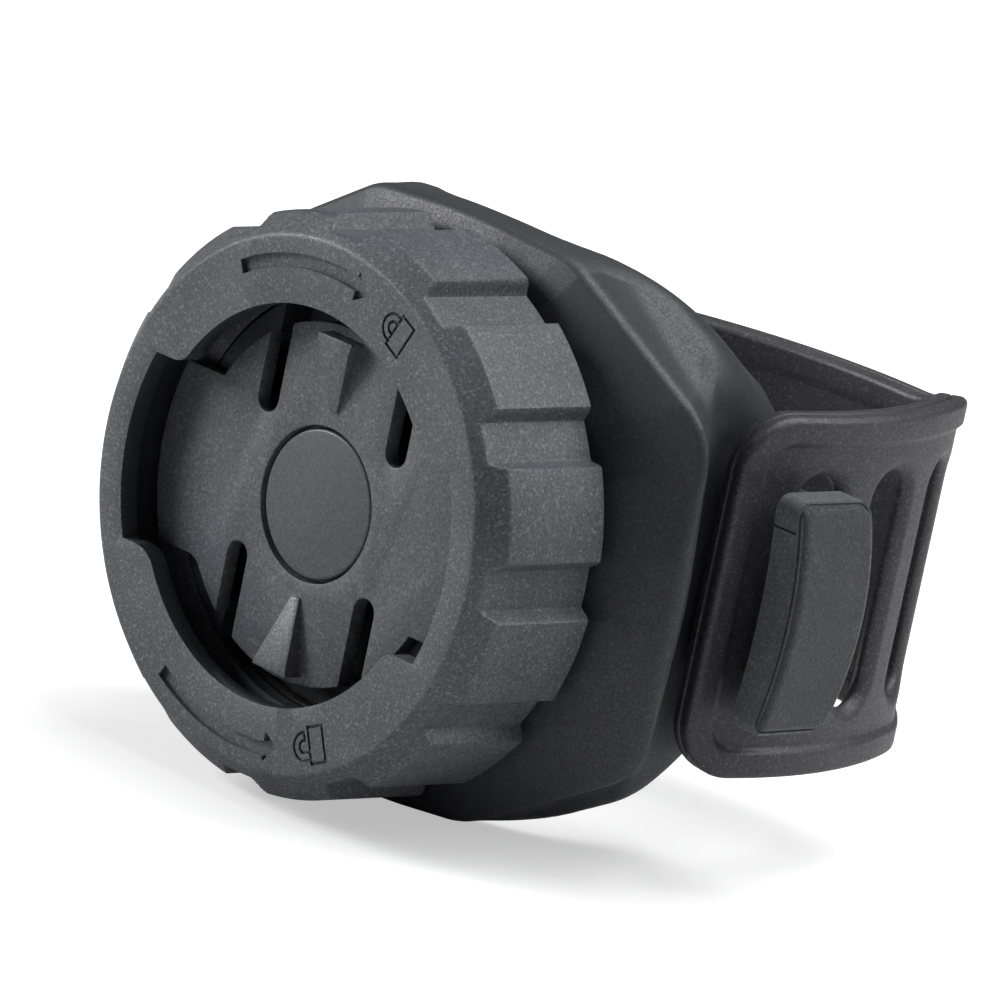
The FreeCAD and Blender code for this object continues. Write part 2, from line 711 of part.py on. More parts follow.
# Four self-tapping screws that come from behind, through the body's floor, into the plate's posts
def make_plate_screws():
    places = [(1, 1), (-1, 1), (-1, -1), (1, -1)]
    for number, (side_x, side_z) in enumerate(places, start=1):
        head = doc.addObject("Part::Cylinder", "tap_head_%d" % number)
        bind(head, "Radius", "Sizes.tap_head_radius")
        bind(head, "Height", "Sizes.tap_head_height")
        shank = doc.addObject("Part::Cylinder", "tap_shank_%d" % number)
        bind(shank, "Radius", "Sizes.tap_radius")
        bind(shank, "Height", "Sizes.tap_head_depth - %s - Sizes.tap_tip_gap" % PLATE_BACK)
        tip = doc.addObject("Part::Fuse", "tap_blank_%d" % number)
        tip.Base, tip.Tool = head, shank
        cross = doc.addObject("Part::Box", "tap_recess_%d" % number)
        bind(cross, "Length", "Sizes.tap_cross_length")
        bind(cross, "Width", "Sizes.tap_cross_width")
        bind(cross, "Height", "Sizes.tap_cross_depth + Sizes.cut_past")
        screw = doc.addObject("Part::Cut", "plate_screw_%d" % number)
        screw.Base, screw.Tool = tip, cross
        for thing, start in ((head, "Sizes.tap_head_depth"),
                             (shank, PLATE_BACK + " + Sizes.tap_tip_gap"),
                             (cross, "Sizes.tap_head_depth + Sizes.tap_head_height - Sizes.tap_cross_depth")):
            thing.Placement = FreeCAD.Placement(Vector(), FreeCAD.Rotation(Vector(1, 0, 0), -90))
            bind(thing, "Placement.Base.y", depth(start))
            sideways = "%d * Sizes.post_offset_x" % side_x
            upright = "%d * Sizes.post_offset_z" % side_z
            if thing is cross:
                sideways += " - Sizes.tap_cross_length / 2"
                upright += " + Sizes.tap_cross_width / 2"
            bind(thing, "Placement.Base.x", sideways)
            bind(thing, "Placement.Base.z", upright)
        screw.Label = "plate_screw_%d" % number
        keep(screw)


# The slippery ring behind the collar's rib
def make_glide_ring():
    ring = new_body("glide_ring")
    front = "(%s + Sizes.running_gap - Sizes.glide_preload)" % RIB_BACK
    bore = HUB_NECK + " + Sizes.glide_bore_gap"
    rim = HUB_RADIUS + " - Sizes.glide_rim_gap"
    turned(ring, "glide_section", [
        (bore, front),
        (rim, front),
        (rim, front + " + Sizes.glide_thickness"),
        (bore, front + " + Sizes.glide_thickness"),
    ])
    return keep(ring)


# The rubber ring that steadies the collar's skirt on the hub, moulded with eight flats
def make_seal():
    seal = new_body("collar_seal")
    corners = []
    for corner in range(8):
        turn = (corner + 0.5) * 360 / 8
        corners.append(("%s + Sizes.seal_radius / cos(22.5) * cos(%g)" % (SEAL_CENTRE, turn),
                        "(Sizes.seal_depth + Sizes.seal_radius / cos(22.5) * sin(%g))" % turn))
    turned(seal, "seal_ring", corners)
    return keep(seal)


def make_pin():
    pin = doc.addObject("Part::Cylinder", "strap_pin_rod")
    bind(pin, "Radius", "Sizes.pin_radius")
    bind(pin, "Height", "2 * Sizes.pin_half_length")
    bind(pin, "Placement.Base.x", "-" + PIN_X)
    bind(pin, "Placement.Base.y", depth(PIN_DEPTH))
    bind(pin, "Placement.Base.z", "-Sizes.pin_half_length")
    doc.recompute()
    rounded = doc.addObject("Part::Chamfer", "strap_pin")
    rounded.Base = pin
    ends = [n + 1 for n, edge in enumerate(pin.Shape.Edges) if isinstance(edge.Curve, Part.Circle)]
    rounded.Edges = [(number, size("pin_chamfer"), size("pin_chamfer")) for number in ends]
    rounded.Label = "strap_pin"
    return keep(rounded)


def feature(name, shape):
    """A finished shape worked out from the sheet's values."""
    node = doc.addObject("Part::Feature", name)
    node.Shape = shape
    node.Label = name
    return keep(node)


def drum(radius, start, end):
    """A cylinder about the collar's axis between two depths."""
    return Part.makeCylinder(radius, end - start, Vector(0, depth_y(start), 0), Vector(0, 1, 0))


def block(x0, x1, start, end, half_z):
    """A box between two X values and two depths, centred on Z = 0."""
    return Part.makeBox(x1 - x0, end - start, 2 * half_z, Vector(x0, depth_y(start), -half_z))


def rounded_outline(place, half_width, half_height, shoulder, flank, corner_radius):
    """One section of the shell: a twelve-sided outline with crowned sides and rounded corners.

    shoulder and flank are the corners at the ends of the top and of the side, as fractions of
    the half width and the half height.
    """
    quarter = [(half_width, 0.0), (half_width * flank[0], half_height * flank[1]),
               (half_width * shoulder[0], half_height * shoulder[1]), (0.0, half_height)]
    ring = quarter + [(-x, z) for x, z in quarter[2:0:-1]]
    ring += [(-x, -z) for x, z in quarter[:3]] + [(0.0, -half_height)]
    ring += [(x, -z) for x, z in quarter[2:0:-1]]
    radii = [size("shell_side_radius"), corner_radius, corner_radius] * 4
    points = [Vector(x, depth_y(place), z) for x, z in ring]
    edges = []
    starts, ends, crowns = [], [], []
    for number, point in enumerate(points):
        before = (points[number - 1] - point).normalize()
        after = (points[(number + 1) % len(points)] - point).normalize()
        half_turn = (math.pi - before.getAngle(after)) / 2
        run = radii[number] * math.tan(half_turn)
        inwards = (before + after).normalize()
        crown = point + inwards * (radii[number] / math.cos(half_turn) - radii[number])
        starts.append(point + before * run)
        ends.append(point + after * run)
        crowns.append(crown)
    for number in range(len(points)):
        edges.append(Part.Arc(starts[number], crowns[number], ends[number]).toShape())
        edges.append(Part.LineSegment(ends[number], starts[(number + 1) % len(points)]).toShape())
    return Part.Wire(edges)


def corner_at(section, corner):
    """A corner of a section, as fractions of its half width and its half height."""
    return size("%s_%s_wide" % (section, corner)), size("%s_%s_high" % (section, corner))


# The housing that carries everything: a cushion-shaped front with a domed face, sides that
# sweep in to two horns beside the bar, a round saddle, and the hub that the collar turns on
def shell_blank():
    """The outside of the housing before the hub, the saddle and the pockets."""
    edge, waist, rear = plain(SHELL_EDGE), size("shell_waist_depth"), plain(HORN_END)
    wide, waist_wide, rear_wide = (size("shell_half_width"), size("shell_waist_half_width"),
                                   plain(HORN_WIDTH))
    high, rear_high = size("shell_half_height"), size("shell_rear_half_height")
    shoulder_depth = edge + (waist - edge) * size("brim_share")
    shoulder_wide = wide - (wide - waist_wide) * size("brim_narrowing")
    shoulder_high = high - size("brim_drop")
    waist_high = high - (high - rear_high) * size("waist_fall")
    bend = size("shell_corner_radius")
    flank, top = corner_at("shell", "flank"), corner_at("shell", "shoulder")
    front = rounded_outline(size("shell_front_depth"), wide, high, top, flank, bend)
    brim = rounded_outline(edge, wide, high, top, flank, bend)
    shoulder = rounded_outline(shoulder_depth, shoulder_wide, shoulder_high,
                               corner_at("brim", "shoulder"), flank, bend)
    middle = rounded_outline(waist, waist_wide, waist_high, corner_at("waist", "shoulder"),
                             corner_at("waist", "flank"), size("waist_corner_radius"))
    end = rounded_outline(rear, rear_wide, rear_high, corner_at("rear", "shoulder"),
                          corner_at("rear", "flank"), size("rear_corner_radius"))
    straight = Part.makeLoft([front, brim], True, True)
    sweep = Part.makeLoft([brim, shoulder, middle, end], True, False)
    return straight, sweep


def make_shell():
    straight, sweep = shell_blank()
    slope, far = size("shell_dome_slope"), size("shell_half_width") + size("shell_half_height")
    apex = size("shell_front_depth") - slope * (plain(HUB_RADIUS) + size("shell_dome_play"))
    rear = plain(HORN_END)
    profile = [(0, apex), (far, apex + slope * far), (far, rear), (0, rear)]
    corners = [Vector(radius, depth_y(place), 0) for radius, place in profile]
    dome = Part.Face(Part.makePolygon(corners + corners[:1])).revolve(Vector(), Vector(0, 1, 0), 360)
    front = straight.common(dome)
    rim = [edge for edge in front.Edges if on_rim(edge)]
    whole = front.makeFillet(size("shell_edge_fillet"), rim).fuse(sweep)
    length = size("clear_through")
    saddle = Part.makeCylinder(plain(SADDLE_RADIUS), length, Vector(0, 0, -length / 2), Vector(0, 0, 1))
    return whole.cut(saddle)


def on_rim(edge):
    """True for an edge between the domed face and the straight sides."""
    outside = reach(edge.CenterOfMass) > size("tooth_radius_rear")
    return outside and not is_axial(edge) and edge.BoundBox.YMax < depth_y(plain(SHELL_EDGE)) - 0.1


def arc_band(inner, outer, start, end, first_angle, last_angle):
    """A block that spans two radii, two depths and two angles from +X towards +Z."""
    def at(radius, angle):
        turn = math.radians(angle)
        return Vector(radius * math.cos(turn), depth_y(start), radius * math.sin(turn))
    middle = (first_angle + last_angle) / 2
    outline = Part.Wire([
        Part.makeLine(at(inner, first_angle), at(outer, first_angle)),
        Part.Arc(at(outer, first_angle), at(outer, middle), at(outer, last_angle)).toShape(),
        Part.makeLine(at(outer, last_angle), at(inner, last_angle)),
        Part.Arc(at(inner, last_angle), at(inner, middle), at(inner, first_angle)).toShape(),
    ])
    return Part.Face(outline).extrude(Vector(0, end - start, 0))


def make_housing():
    shell = make_shell()
    past, through = size("cut_past"), size("clear_through")
    neck, hub = plain(HUB_NECK), plain(HUB_RADIUS)
    seat, shoulder = plain(PLATE_BACK), plain(SHOULDER)
    floor = size("cup_floor_depth")
    collar_end = size("collar_length") + size("shell_edge_room")
    hub_solid = drum(neck, seat, shoulder + past).fuse(drum(hub, shoulder, collar_end + 3 * past))
    # Cup under the plate, with a post for the insert and windows for the tongues
    post = drum(size("hub_post_radius"), plain(BOSS_BACK), floor)
    cup = drum(size("cup_radius"), seat - past, floor).cut(post)
    window = size("window_half_width")
    cup = cup.fuse(block(-window, window, seat - past, size("window_depth"), neck + past))
    whole = shell.fuse(hub_solid).cut(cup)
    insert_front = plain(BOSS_BACK) + size("insert_sink")
    shank_radius = size("screw_radius") + size("screw_clearance")
    whole = whole.cut(drum(shank_radius, seat, insert_front + size("screw_clearance")))
    whole = whole.cut(drum(size("insert_radius"), insert_front, insert_front + size("insert_length")))
    # Groove for the rubber ring
    reach_out = size("seal_radius") + size("seal_groove_gap")
    start, end = size("seal_depth") - reach_out, size("seal_depth") + reach_out
    whole = whole.cut(drum(hub + past, start, end).cut(drum(plain(SEAL_CENTRE) - reach_out, start, end)))
    # Channels in which the collar's stop lugs run
    lug_angle = math.degrees(math.asin(size("stop_half_width") / size("stop_radius")))
    slack = size("stop_slack_angle")
    lug_end = size("stop_depth") + size("stop_length") + size("stop_end_gap")
    for turn in (0, 180):
        first = 90 - size("twist_angle") - lug_angle - slack + turn
        last = 90 + lug_angle + slack + turn
        channel_floor = size("stop_radius") - size("bore_gap")
        whole = whole.cut(arc_band(channel_floor, hub + past, shoulder - 0.1 * past, lug_end, first, last))
    # Pockets for the two click springs
    front = size("stop_depth")
    back = front + size("leaf_width") + 2 * size("leaf_pocket_gap")
    half_length = size("leaf_half_length") + size("leaf_pocket_gap")
    pocket = block(hub - size("leaf_pocket_depth"), hub + past, front, back, half_length)
    mirrored = pocket.mirror(Vector(0, 0, 0), Vector(1, 0, 0))
    whole = whole.cut(pocket).cut(mirrored)
    # Holes for the four screws from behind, sunk in the saddle
    shank_hole = drum(size("tap_radius") + size("tap_clearance"), floor - past, size("face_to_bar"))
    head_hole = drum(size("tap_head_radius") + size("tap_head_clearance"), size("tap_head_depth"),
                     size("face_to_bar"))
    for side_x in (1, -1):
        for side_z in (1, -1):
            spot = Vector(side_x * size("post_offset_x"), 0, side_z * size("post_offset_z"))
            for hole in (shank_hole, head_hole):
                whole = whole.cut(hole.translated(spot))
    # Pocket and pin hole for the strap's eye on the far horn
    eye = plain(EYE_RADIUS) + size("eye_room")
    gap = block(-through, -size("bar_radius"), plain(PIN_DEPTH) - eye, through,
                size("eye_half_width") + size("eye_room"))
    hole = Part.makeCylinder(size("pin_radius") + size("eye_clearance"), through,
                             Vector(-plain(PIN_X), depth_y(plain(PIN_DEPTH)), -through / 2))
    whole = whole.cut(gap).cut(hole)
    # Socket for the hook's root in the near horn
    fit = size("hook_fit")
    root = block(plain(ROOT_X) - fit, through, plain(ROOT_FRONT) - fit, through,
                 size("hook_neck_half") + fit)
    return feature("body", whole.cut(root))


# The hook: a root keyed into the horn, a neck through the strap's slot, and a bowed paddle head
def make_hook():
    half, bow = size("hook_head_half"), size("hook_head_bow")
    front, rear = plain(HEAD_REAR) - size("hook_head_length"), plain(HEAD_REAR)
    inner, crown, past = plain(HEAD_X), size("hook_crown"), size("cut_past")
    outer = inner + size("hook_head_thickness")

    def at(place, z):
        return Vector(inner - past, depth_y(place), z)

    outline = Part.Wire([
        Part.makeLine(at(front, -half), at(front, half)),
        Part.makeLine(at(front, half), at(rear, half)),
        Part.Arc(at(rear, half), at(rear + bow, 0), at(rear, -half)).toShape(),
        Part.makeLine(at(rear, -half), at(front, -half)),
    ])
    paddle = Part.Face(outline).extrude(Vector(outer - inner + 2 * past, 0, 0))

    def face_at(x, z):
        return Vector(x, depth_y(front) - past, z)

    tall, brow = half + past, outer - crown
    band = Part.Wire([
        Part.makeLine(face_at(inner, -tall), face_at(brow, -tall)),
        Part.Arc(face_at(brow, -tall), face_at(outer, 0), face_at(brow, tall)).toShape(),
        Part.makeLine(face_at(brow, tall), face_at(inner, tall)),
        Part.makeLine(face_at(inner, tall), face_at(inner, -tall)),
    ])
    head = paddle.common(Part.Face(band).extrude(Vector(0, rear + bow - front + 2 * past, 0)))
    outside = [edge for edge in head.Edges if edge.BoundBox.XMax > brow - size("hook_fillet") / 3]
    head = head.makeFillet(size("hook_fillet"), outside)
    neck_front = plain(NECK_DEPTH) - size("hook_neck_thickness") / 2
    neck_back = neck_front + size("hook_neck_thickness")
    width = size("hook_neck_half")
    neck = block(plain(ROOT_X) + past, inner + past / 2, neck_front, neck_back, width)
    root_end = plain(HORN_WIDTH) - size("hook_root_recess")
    root = block(plain(ROOT_X), root_end, plain(ROOT_FRONT), plain(HORN_END), width)
    return feature("strap_hook", head.fuse(neck).fuse(root).removeSplitter())


# The rubber pad that lines the saddle, with grip grooves along the bar
def make_pad():
    inner = size("bar_radius") + size("bar_clearance")
    outer = inner + size("pad_thickness")
    half = size("pad_half_angle")

    length = size("clear_through")

    def at(radius, angle):
        turn = math.radians(angle)
        return Vector(radius * math.sin(turn), -radius * math.cos(turn), -length / 2)

    outline = Part.Wire([
        Part.Arc(at(outer, -half), at(outer, 0), at(outer, half)).toShape(),
        Part.makeLine(at(outer, half), at(inner, half)),
        Part.Arc(at(inner, half), at(inner, 0), at(inner, -half)).toShape(),
        Part.makeLine(at(inner, -half), at(outer, -half)),
    ])
    lining = Part.Face(outline).extrude(Vector(0, 0, length))
    # The ends follow the rim of the body, a little inside it
    inset = size("pad_rim_inset")
    bend = size("shell_waist_depth") - size("pad_bend_setback")
    front_z = size("shell_half_height") - size("pad_brim_drop") - inset
    rear_z = size("shell_rear_half_height") - inset
    corners = [(0, front_z), (bend, front_z), (plain(HORN_END), rear_z), (length, rear_z)]
    corners += [(place, -z) for place, z in corners[::-1]]
    trim = [Vector(-length / 2, depth_y(place), z) for place, z in corners]
    lining = lining.common(Part.Face(Part.makePolygon(trim + trim[:1])).extrude(Vector(length, 0, 0)))
    pitch = size("pad_groove_pitch")
    count = int(half / pitch - size("pad_groove_margin"))
    for step in range(-count, count + 1):
        turn = math.radians(step * pitch)
        spot = Vector(inner * math.sin(turn), -inner * math.cos(turn), -length / 2)
        lining = lining.cut(Part.makeCylinder(size("pad_groove_radius"), length, spot))
    return feature("saddle_pad", lining)


# The wavy steel ring that pushes the glide ring forward: a flat ring lofted up and down
def make_wave_spring():
    glide_back = plain(RIB_BACK) + size("running_gap") - size("glide_preload") + size("glide_thickness")
    room = plain(SHOULDER) - glide_back
    swing = (room - size("wave_sheet")) / 2 - size("spring_end_play")
    inner = plain(HUB_NECK) + size("spring_radial_gap")
    outer = plain(HUB_RADIUS) - size("spring_rim_gap")
    middle = glide_back + room / 2
    steps = 12 * int(size("wave_count"))
    ribs = []
    for step in range(steps):
        turn = 2 * math.pi * step / steps
        lift = swing * math.cos(size("wave_count") * turn)
        across = Vector(math.cos(turn), 0, math.sin(turn))
        low = Vector(0, depth_y(middle + lift - size("wave_sheet") / 2), 0)
        high = low + Vector(0, size("wave_sheet"), 0)
        ribs.append([across * inner + low, across * outer + low,
                     across * outer + high, across * inner + high])
    faces = []
    for step in range(steps):
        here, there = ribs[step], ribs[(step + 1) % steps]
        for side in range(4):
            a, b = here[side], here[(side + 1) % 4]
            c, d = there[(side + 1) % 4], there[side]
            faces.append(Part.makeRuledSurface(Part.makeLine(a, b), Part.makeLine(d, c)))
    shell = Part.makeShell(faces)
    shell.sewShape()
    ring = Part.makeSolid(Part.Shell(shell.Faces))
    if ring.Volume < 0:
        ring.reverse()
    return feature("wave_spring", ring)


# Two bent leaves in the hub that click into the collar's notches
def make_click_springs():
    hub = plain(HUB_RADIUS)
    sheet_thickness = size("leaf_sheet")
    back = hub - size("leaf_inset")
    rise = size("leaf_rise")
    nose = plain("Sizes.skirt_radius") - size("running_gap")
    half = size("leaf_half_length")
    bend = half * size("leaf_bend_share")
    crest = nose - sheet_thickness
    line = [(back, -half), (back + rise, -bend), (crest, -rise)]
    line += [(x, -z) for x, z in line[::-1]]
    outside = [(x + sheet_thickness, z) for x, z in line]
    front = depth_y(size("stop_depth") + size("leaf_pocket_gap"))
    corners = [Vector(x, front, z) for x, z in line + outside[::-1]]
    leaf = Part.Face(Part.makePolygon(corners + corners[:1])).extrude(Vector(0, size("leaf_width"), 0))
    feature("click_spring_right", leaf)
    feature("click_spring_left", leaf.mirror(Vector(0, 0, 0), Vector(1, 0, 0)))


# The strap: one silicone moulding, with an eye around the pin, a narrow band behind the bar
# and a wide tab with three slots
def strap_path():
    """The strap's middle line from its free end to its last bend, as arcs that turn the same way."""
    heading = math.radians(size("strap_start_angle"))
    point = Vector(plain(STRAP_START_X), depth_y(plain(STRAP_START)), 0)
    span = plain(STRAP_START_X) + plain(PIN_X)
    arcs = []
    for name in ("tab", "corner", "back", "far"):
        radius, turn = span * size(name + "_bend_ratio"), math.radians(size(name + "_turn_angle"))
        centre = point + Vector(-math.sin(heading), math.cos(heading), 0) * radius
        spoke = point - centre
        crown = centre + turned_by(spoke, turn / 2)
        end = centre + turned_by(spoke, turn)
        arcs.append((point, crown, end, centre, radius))
        point = end
        heading += turn
    return arcs


def turned_by(vector, angle):
    return Vector(vector.x * math.cos(angle) - vector.y * math.sin(angle),
                  vector.x * math.sin(angle) + vector.y * math.cos(angle), 0)


def make_ribbon(arcs):
    """The strap's full-width ribbon, from its free end to the pin."""
    half = size("strap_thickness") / 2
    outer, inner = [], []
    for start, crown, end, centre, radius in arcs:
        for side, line in ((1, outer), (-1, inner)):
            scale = (radius + side * half) / radius
            bent = [centre + (point - centre) * scale for point in (start, crown, end)]
            line.append(Part.Arc(*bent).toShape())
    pin = Vector(-plain(PIN_X), depth_y(plain(PIN_DEPTH)), 0)
    last, centre = arcs[-1][2], arcs[-1][3]
    across = (last - centre).normalize() * half
    sides = [Part.makeLine(inner[0].Vertexes[0].Point, outer[0].Vertexes[0].Point),
             Part.makeLine(last + across, pin + across), Part.makeLine(pin + across, pin - across),
             Part.makeLine(pin - across, last - across)]
    outline = Part.Wire(Part.__sortEdges__(outer + inner + sides))
    width = size("strap_half_width")
    ribbon = Part.Face(outline).extrude(Vector(0, 0, 2 * width))
    ribbon.translate(Vector(0, 0, -width))
    return ribbon


def mirrored_cut(shape, corners, end_y):
    """Cuts a prism that runs along Y up to a plane, and its twin across Z = 0."""
    length = size("clear_through")
    for side in (1, -1):
        points = [Vector(x, end_y - length, side * z) for x, z in corners]
        prism = Part.Face(Part.makePolygon(points + points[:1])).extrude(Vector(0, length, 0))
        shape = shape.cut(prism)
    return shape


def make_strap():
    arcs = strap_path()
    ribbon = make_ribbon(arcs)
    past, through = size("cut_past"), size("clear_through")
    width, band, eye = size("strap_half_width"), size("band_half_width"), size("eye_half_width")
    # Narrow the band past the bend, and again where it enters the far horn
    bend = arcs[1][2].x
    shoulder = bend + size("shoulder_taper")
    edge = width + past
    taper = [(shoulder, width), (bend, band), (-through, band), (-through, edge), (shoulder, edge)]
    ribbon = mirrored_cut(ribbon, taper, through)
    tongue = [(0, eye), (-through, eye), (-through, edge), (0, edge)]
    ribbon = mirrored_cut(ribbon, tongue, depth_y(plain(HORN_END) + size("eye_shoulder_gap")))
    spot = Vector(-plain(PIN_X), depth_y(plain(PIN_DEPTH)), -eye)
    ribbon = ribbon.fuse(Part.makeCylinder(plain(EYE_RADIUS), 2 * eye, spot))
    bore = Part.makeCylinder(size("pin_radius") + size("eye_clearance"), 2 * eye, spot)
    ribbon = ribbon.cut(bore)
    # Slots cut square to the strap at even steps along its middle line
    for number in range(int(size("strap_slot_count"))):
        spot, outwards = along(arcs, size("strap_first_slot") + number * size("strap_slot_pitch"))
        ribbon = ribbon.cut(slot_tool(spot, outwards, size("strap_slot_radius"), size("strap_slot_half")))
    # Round the two corners of the free end
    corner = size("strap_corner")
    start = arcs[0][0]
    front = start.y - 3 * past
    for side in (1, -1):
        square = [(front, width - corner), (front, edge), (start.y + corner, edge),
                  (start.y + corner, width - corner)]
        square = [Vector(past, y, side * z) for y, z in square]
        nib = Part.Face(Part.makePolygon(square + square[:1])).extrude(Vector(through, 0, 0))
        middle = Vector(0, start.y + corner, side * (width - corner))
        nib = nib.cut(Part.makeCylinder(corner, through, middle, Vector(1, 0, 0)))
        ribbon = ribbon.cut(nib)
    return feature("strap", ribbon)


def along(arcs, distance):
    """The point and the outward direction at a distance along the strap's middle line."""
    for start, crown, end, centre, radius in arcs:
        spoke = start - centre
        length = radius * spoke.getAngle(end - centre)
        if distance <= length:
            outwards = turned_by(spoke, distance / radius).normalize()
            return centre + outwards * radius, outwards
        distance -= length
    raise ValueError("the strap is shorter than its slots need")


def slot_tool(spot, outwards, radius, half):
    """A long slot with round ends, cut through the strap square to it."""
    straight = half - radius
    up = Vector(0, 0, 1)
    across = up.cross(outwards)
    length = 3 * size("strap_thickness")
    inside = spot - outwards * (length / 2)
    corners = [inside + across * (a * radius) + up * (b * straight)
               for a, b in ((-1, -1), (1, -1), (1, 1), (-1, 1))]
    tool = Part.Face(Part.makePolygon(corners + corners[:1])).extrude(outwards * length)
    for end in (-1, 1):
        tool = tool.fuse(Part.makeCylinder(radius, length, inside + up * (end * straight), outwards))
    return tool.removeSplitter()


make_collar()
make_plate()
make_cap()
make_centre_screw()
make_washer()
make_insert()
make_plate_screws()
make_glide_ring()
make_wave_spring()
make_seal()
make_click_springs()
make_housing()
make_hook()
make_pad()
make_strap()
make_pin()
doc.recompute()

for item in doc.Objects:
    if "Invalid" in item.State or "Error" in item.State:
        raise RuntimeError("%s did not build: %s" % (item.Label, item.State))

os.makedirs("parts", exist_ok=True)
for node in pieces:
    shape = node.Shape
    if shape.isNull() or not shape.isValid():
        raise RuntimeError("%s has no valid shape" % node.Label)
    shape.exportStep(os.path.join("parts", node.Label + ".step"))
    print(node.Label, "solids", len(shape.Solids), "volume", round(shape.Volume, 2))
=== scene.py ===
from math import atan2, cos, hypot, pi, radians, sin, tan

import bpy
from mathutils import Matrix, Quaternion, Vector


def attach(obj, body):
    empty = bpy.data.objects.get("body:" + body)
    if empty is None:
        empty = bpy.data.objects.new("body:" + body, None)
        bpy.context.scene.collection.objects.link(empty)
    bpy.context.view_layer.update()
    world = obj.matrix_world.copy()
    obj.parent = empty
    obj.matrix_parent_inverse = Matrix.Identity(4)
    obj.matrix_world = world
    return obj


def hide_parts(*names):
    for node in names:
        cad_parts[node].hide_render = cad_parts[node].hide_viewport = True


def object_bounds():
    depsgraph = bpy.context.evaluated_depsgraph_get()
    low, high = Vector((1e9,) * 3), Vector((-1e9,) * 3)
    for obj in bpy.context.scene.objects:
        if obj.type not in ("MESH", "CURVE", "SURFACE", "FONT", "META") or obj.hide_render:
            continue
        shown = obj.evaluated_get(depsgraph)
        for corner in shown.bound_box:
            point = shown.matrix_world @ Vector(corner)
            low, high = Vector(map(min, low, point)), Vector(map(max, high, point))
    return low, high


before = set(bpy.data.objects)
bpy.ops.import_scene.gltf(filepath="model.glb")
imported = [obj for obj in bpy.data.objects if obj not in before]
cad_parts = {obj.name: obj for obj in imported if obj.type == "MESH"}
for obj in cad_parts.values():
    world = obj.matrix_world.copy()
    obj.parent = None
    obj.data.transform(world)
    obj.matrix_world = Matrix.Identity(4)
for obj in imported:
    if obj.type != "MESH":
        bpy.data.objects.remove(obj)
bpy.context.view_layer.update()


# Camera: a long lens, which looks from the hook's side and a little from above.
# It is rolled, so that the mount leans to the right in the picture.

VIEW_TARGET = Vector((0.01197, -0.02255, 0.0039))
VIEW_DISTANCE = 0.700
VIEW_AZIMUTH = radians(43.2)
VIEW_ELEVATION = radians(13.2)
VIEW_ROLL = radians(11.68)
VIEW_LENS = 309.76
SENSOR_WIDTH = 36.0
SIGHT_LIMIT = 20.0


def direction(azimuth, elevation):
    """From the mount towards a camera or a light."""
    return Vector((
        sin(azimuth) * cos(elevation), -cos(azimuth) * cos(elevation), sin(elevation)))


camera_data = bpy.data.cameras.new("camera")
camera_data.sensor_width = SENSOR_WIDTH
camera_data.lens = VIEW_LENS
camera_data.clip_end = SIGHT_LIMIT
camera = bpy.data.objects.new("camera", camera_data)
bpy.context.scene.collection.objects.link(camera)
view_back = direction(VIEW_AZIMUTH, VIEW_ELEVATION)
camera.location = VIEW_TARGET + view_back * VIEW_DISTANCE
upright = view_back.to_track_quat("Z", "Y")
camera.rotation_euler = (upright @ Quaternion((0, 0, 1), VIEW_ROLL)).to_euler()
bpy.context.scene.camera = camera


# Body: the housing is one moulding of glass-filled nylon with a domed front, sides
# that sweep in to two horns, a round saddle and the hub behind the collar. The
# collar turns on the hub, and the receiver plate is screwed in front of it.

FACE_TO_BAR = 0.035
SHELL_FRONT = 0.0129
DOME_SLOPE = 0.42
DOME_START = 0.0207
DOME_HIDDEN = 0.0200
RIM_ROUND = 0.0010
RIM_STRETCH = 1.2
HORN_END = 0.0336
SIDE_BEND = 0.060
BEND_STEPS = 8
FILLET_STEPS = 5
SWEEP_STEPS = 26
SHELL_EDGE = 0.00035
SADDLE_RADIUS = 0.0174
SADDLE_CUT = 0.1
EYE_GAP_HALF = 0.0097
EYE_GAP_FRONT = -0.0070
EYE_GAP_BACK = 0.005
EYE_GAP_OUTSIDE = -0.030
EYE_GAP_INSIDE = -0.014
HUB_RADIUS = 0.02075
HUB_LENGTH = 0.0170
HUB_MIDDLE = 0.0075
# Each section: depth, half width, half height, the corner at the end of the
# top and the one at the end of the side as shares of these, bend radius
SHELL_SECTIONS = (
    (0.0177, 0.0296, 0.0252, (0.40, 0.958), (0.965, 0.575), 0.0070),
    (0.0205, 0.02675, 0.0247, (0.50, 0.968), (0.965, 0.575), 0.0070),
    (0.0240, 0.0239, 0.0237, (0.66, 0.945), (0.955, 0.775), 0.0065),
    (HORN_END, 0.0229, 0.0162, (0.78, 0.965), (0.965, 0.76), 0.0040),
)


def only(*pieces):
    """Leaves just these pieces selected, the last of them active."""
    bpy.ops.object.select_all(action="DESELECT")
    for piece in pieces:
        piece.select_set(True)
        bpy.context.view_layer.objects.active = piece


def round_edges(piece, width, segments=2, sharp=40):
    """Rounds the edges that are sharper than that many degrees."""
    only(piece)
    rounding = piece.modifiers.new("rounded edges", "BEVEL")
    rounding.width = width
    rounding.segments = segments
    rounding.limit_method = "ANGLE"
    rounding.angle_limit = radians(sharp)
    bpy.ops.object.modifier_apply(modifier=rounding.name)


def moulding_of(node, name, edge):
    """A merged copy of a CAD node's mesh, with its edges rounded."""
    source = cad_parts[node]
    piece = bpy.data.objects.new(name, source.data.copy())
    bpy.context.scene.collection.objects.link(piece)
    only(piece)
    bpy.ops.mesh.customdata_custom_splitnormals_clear()
    bpy.ops.object.mode_set(mode="EDIT")
    bpy.ops.mesh.select_all(action="SELECT")
    bpy.ops.mesh.remove_doubles(threshold=0.000002)
    bpy.ops.mesh.dissolve_limited(angle_limit=radians(0.6))
    bpy.ops.object.mode_set(mode="OBJECT")
    if edge:
        round_edges(piece, edge, sharp=28)
    bpy.ops.object.shade_smooth_by_angle(angle=radians(32))
    return piece


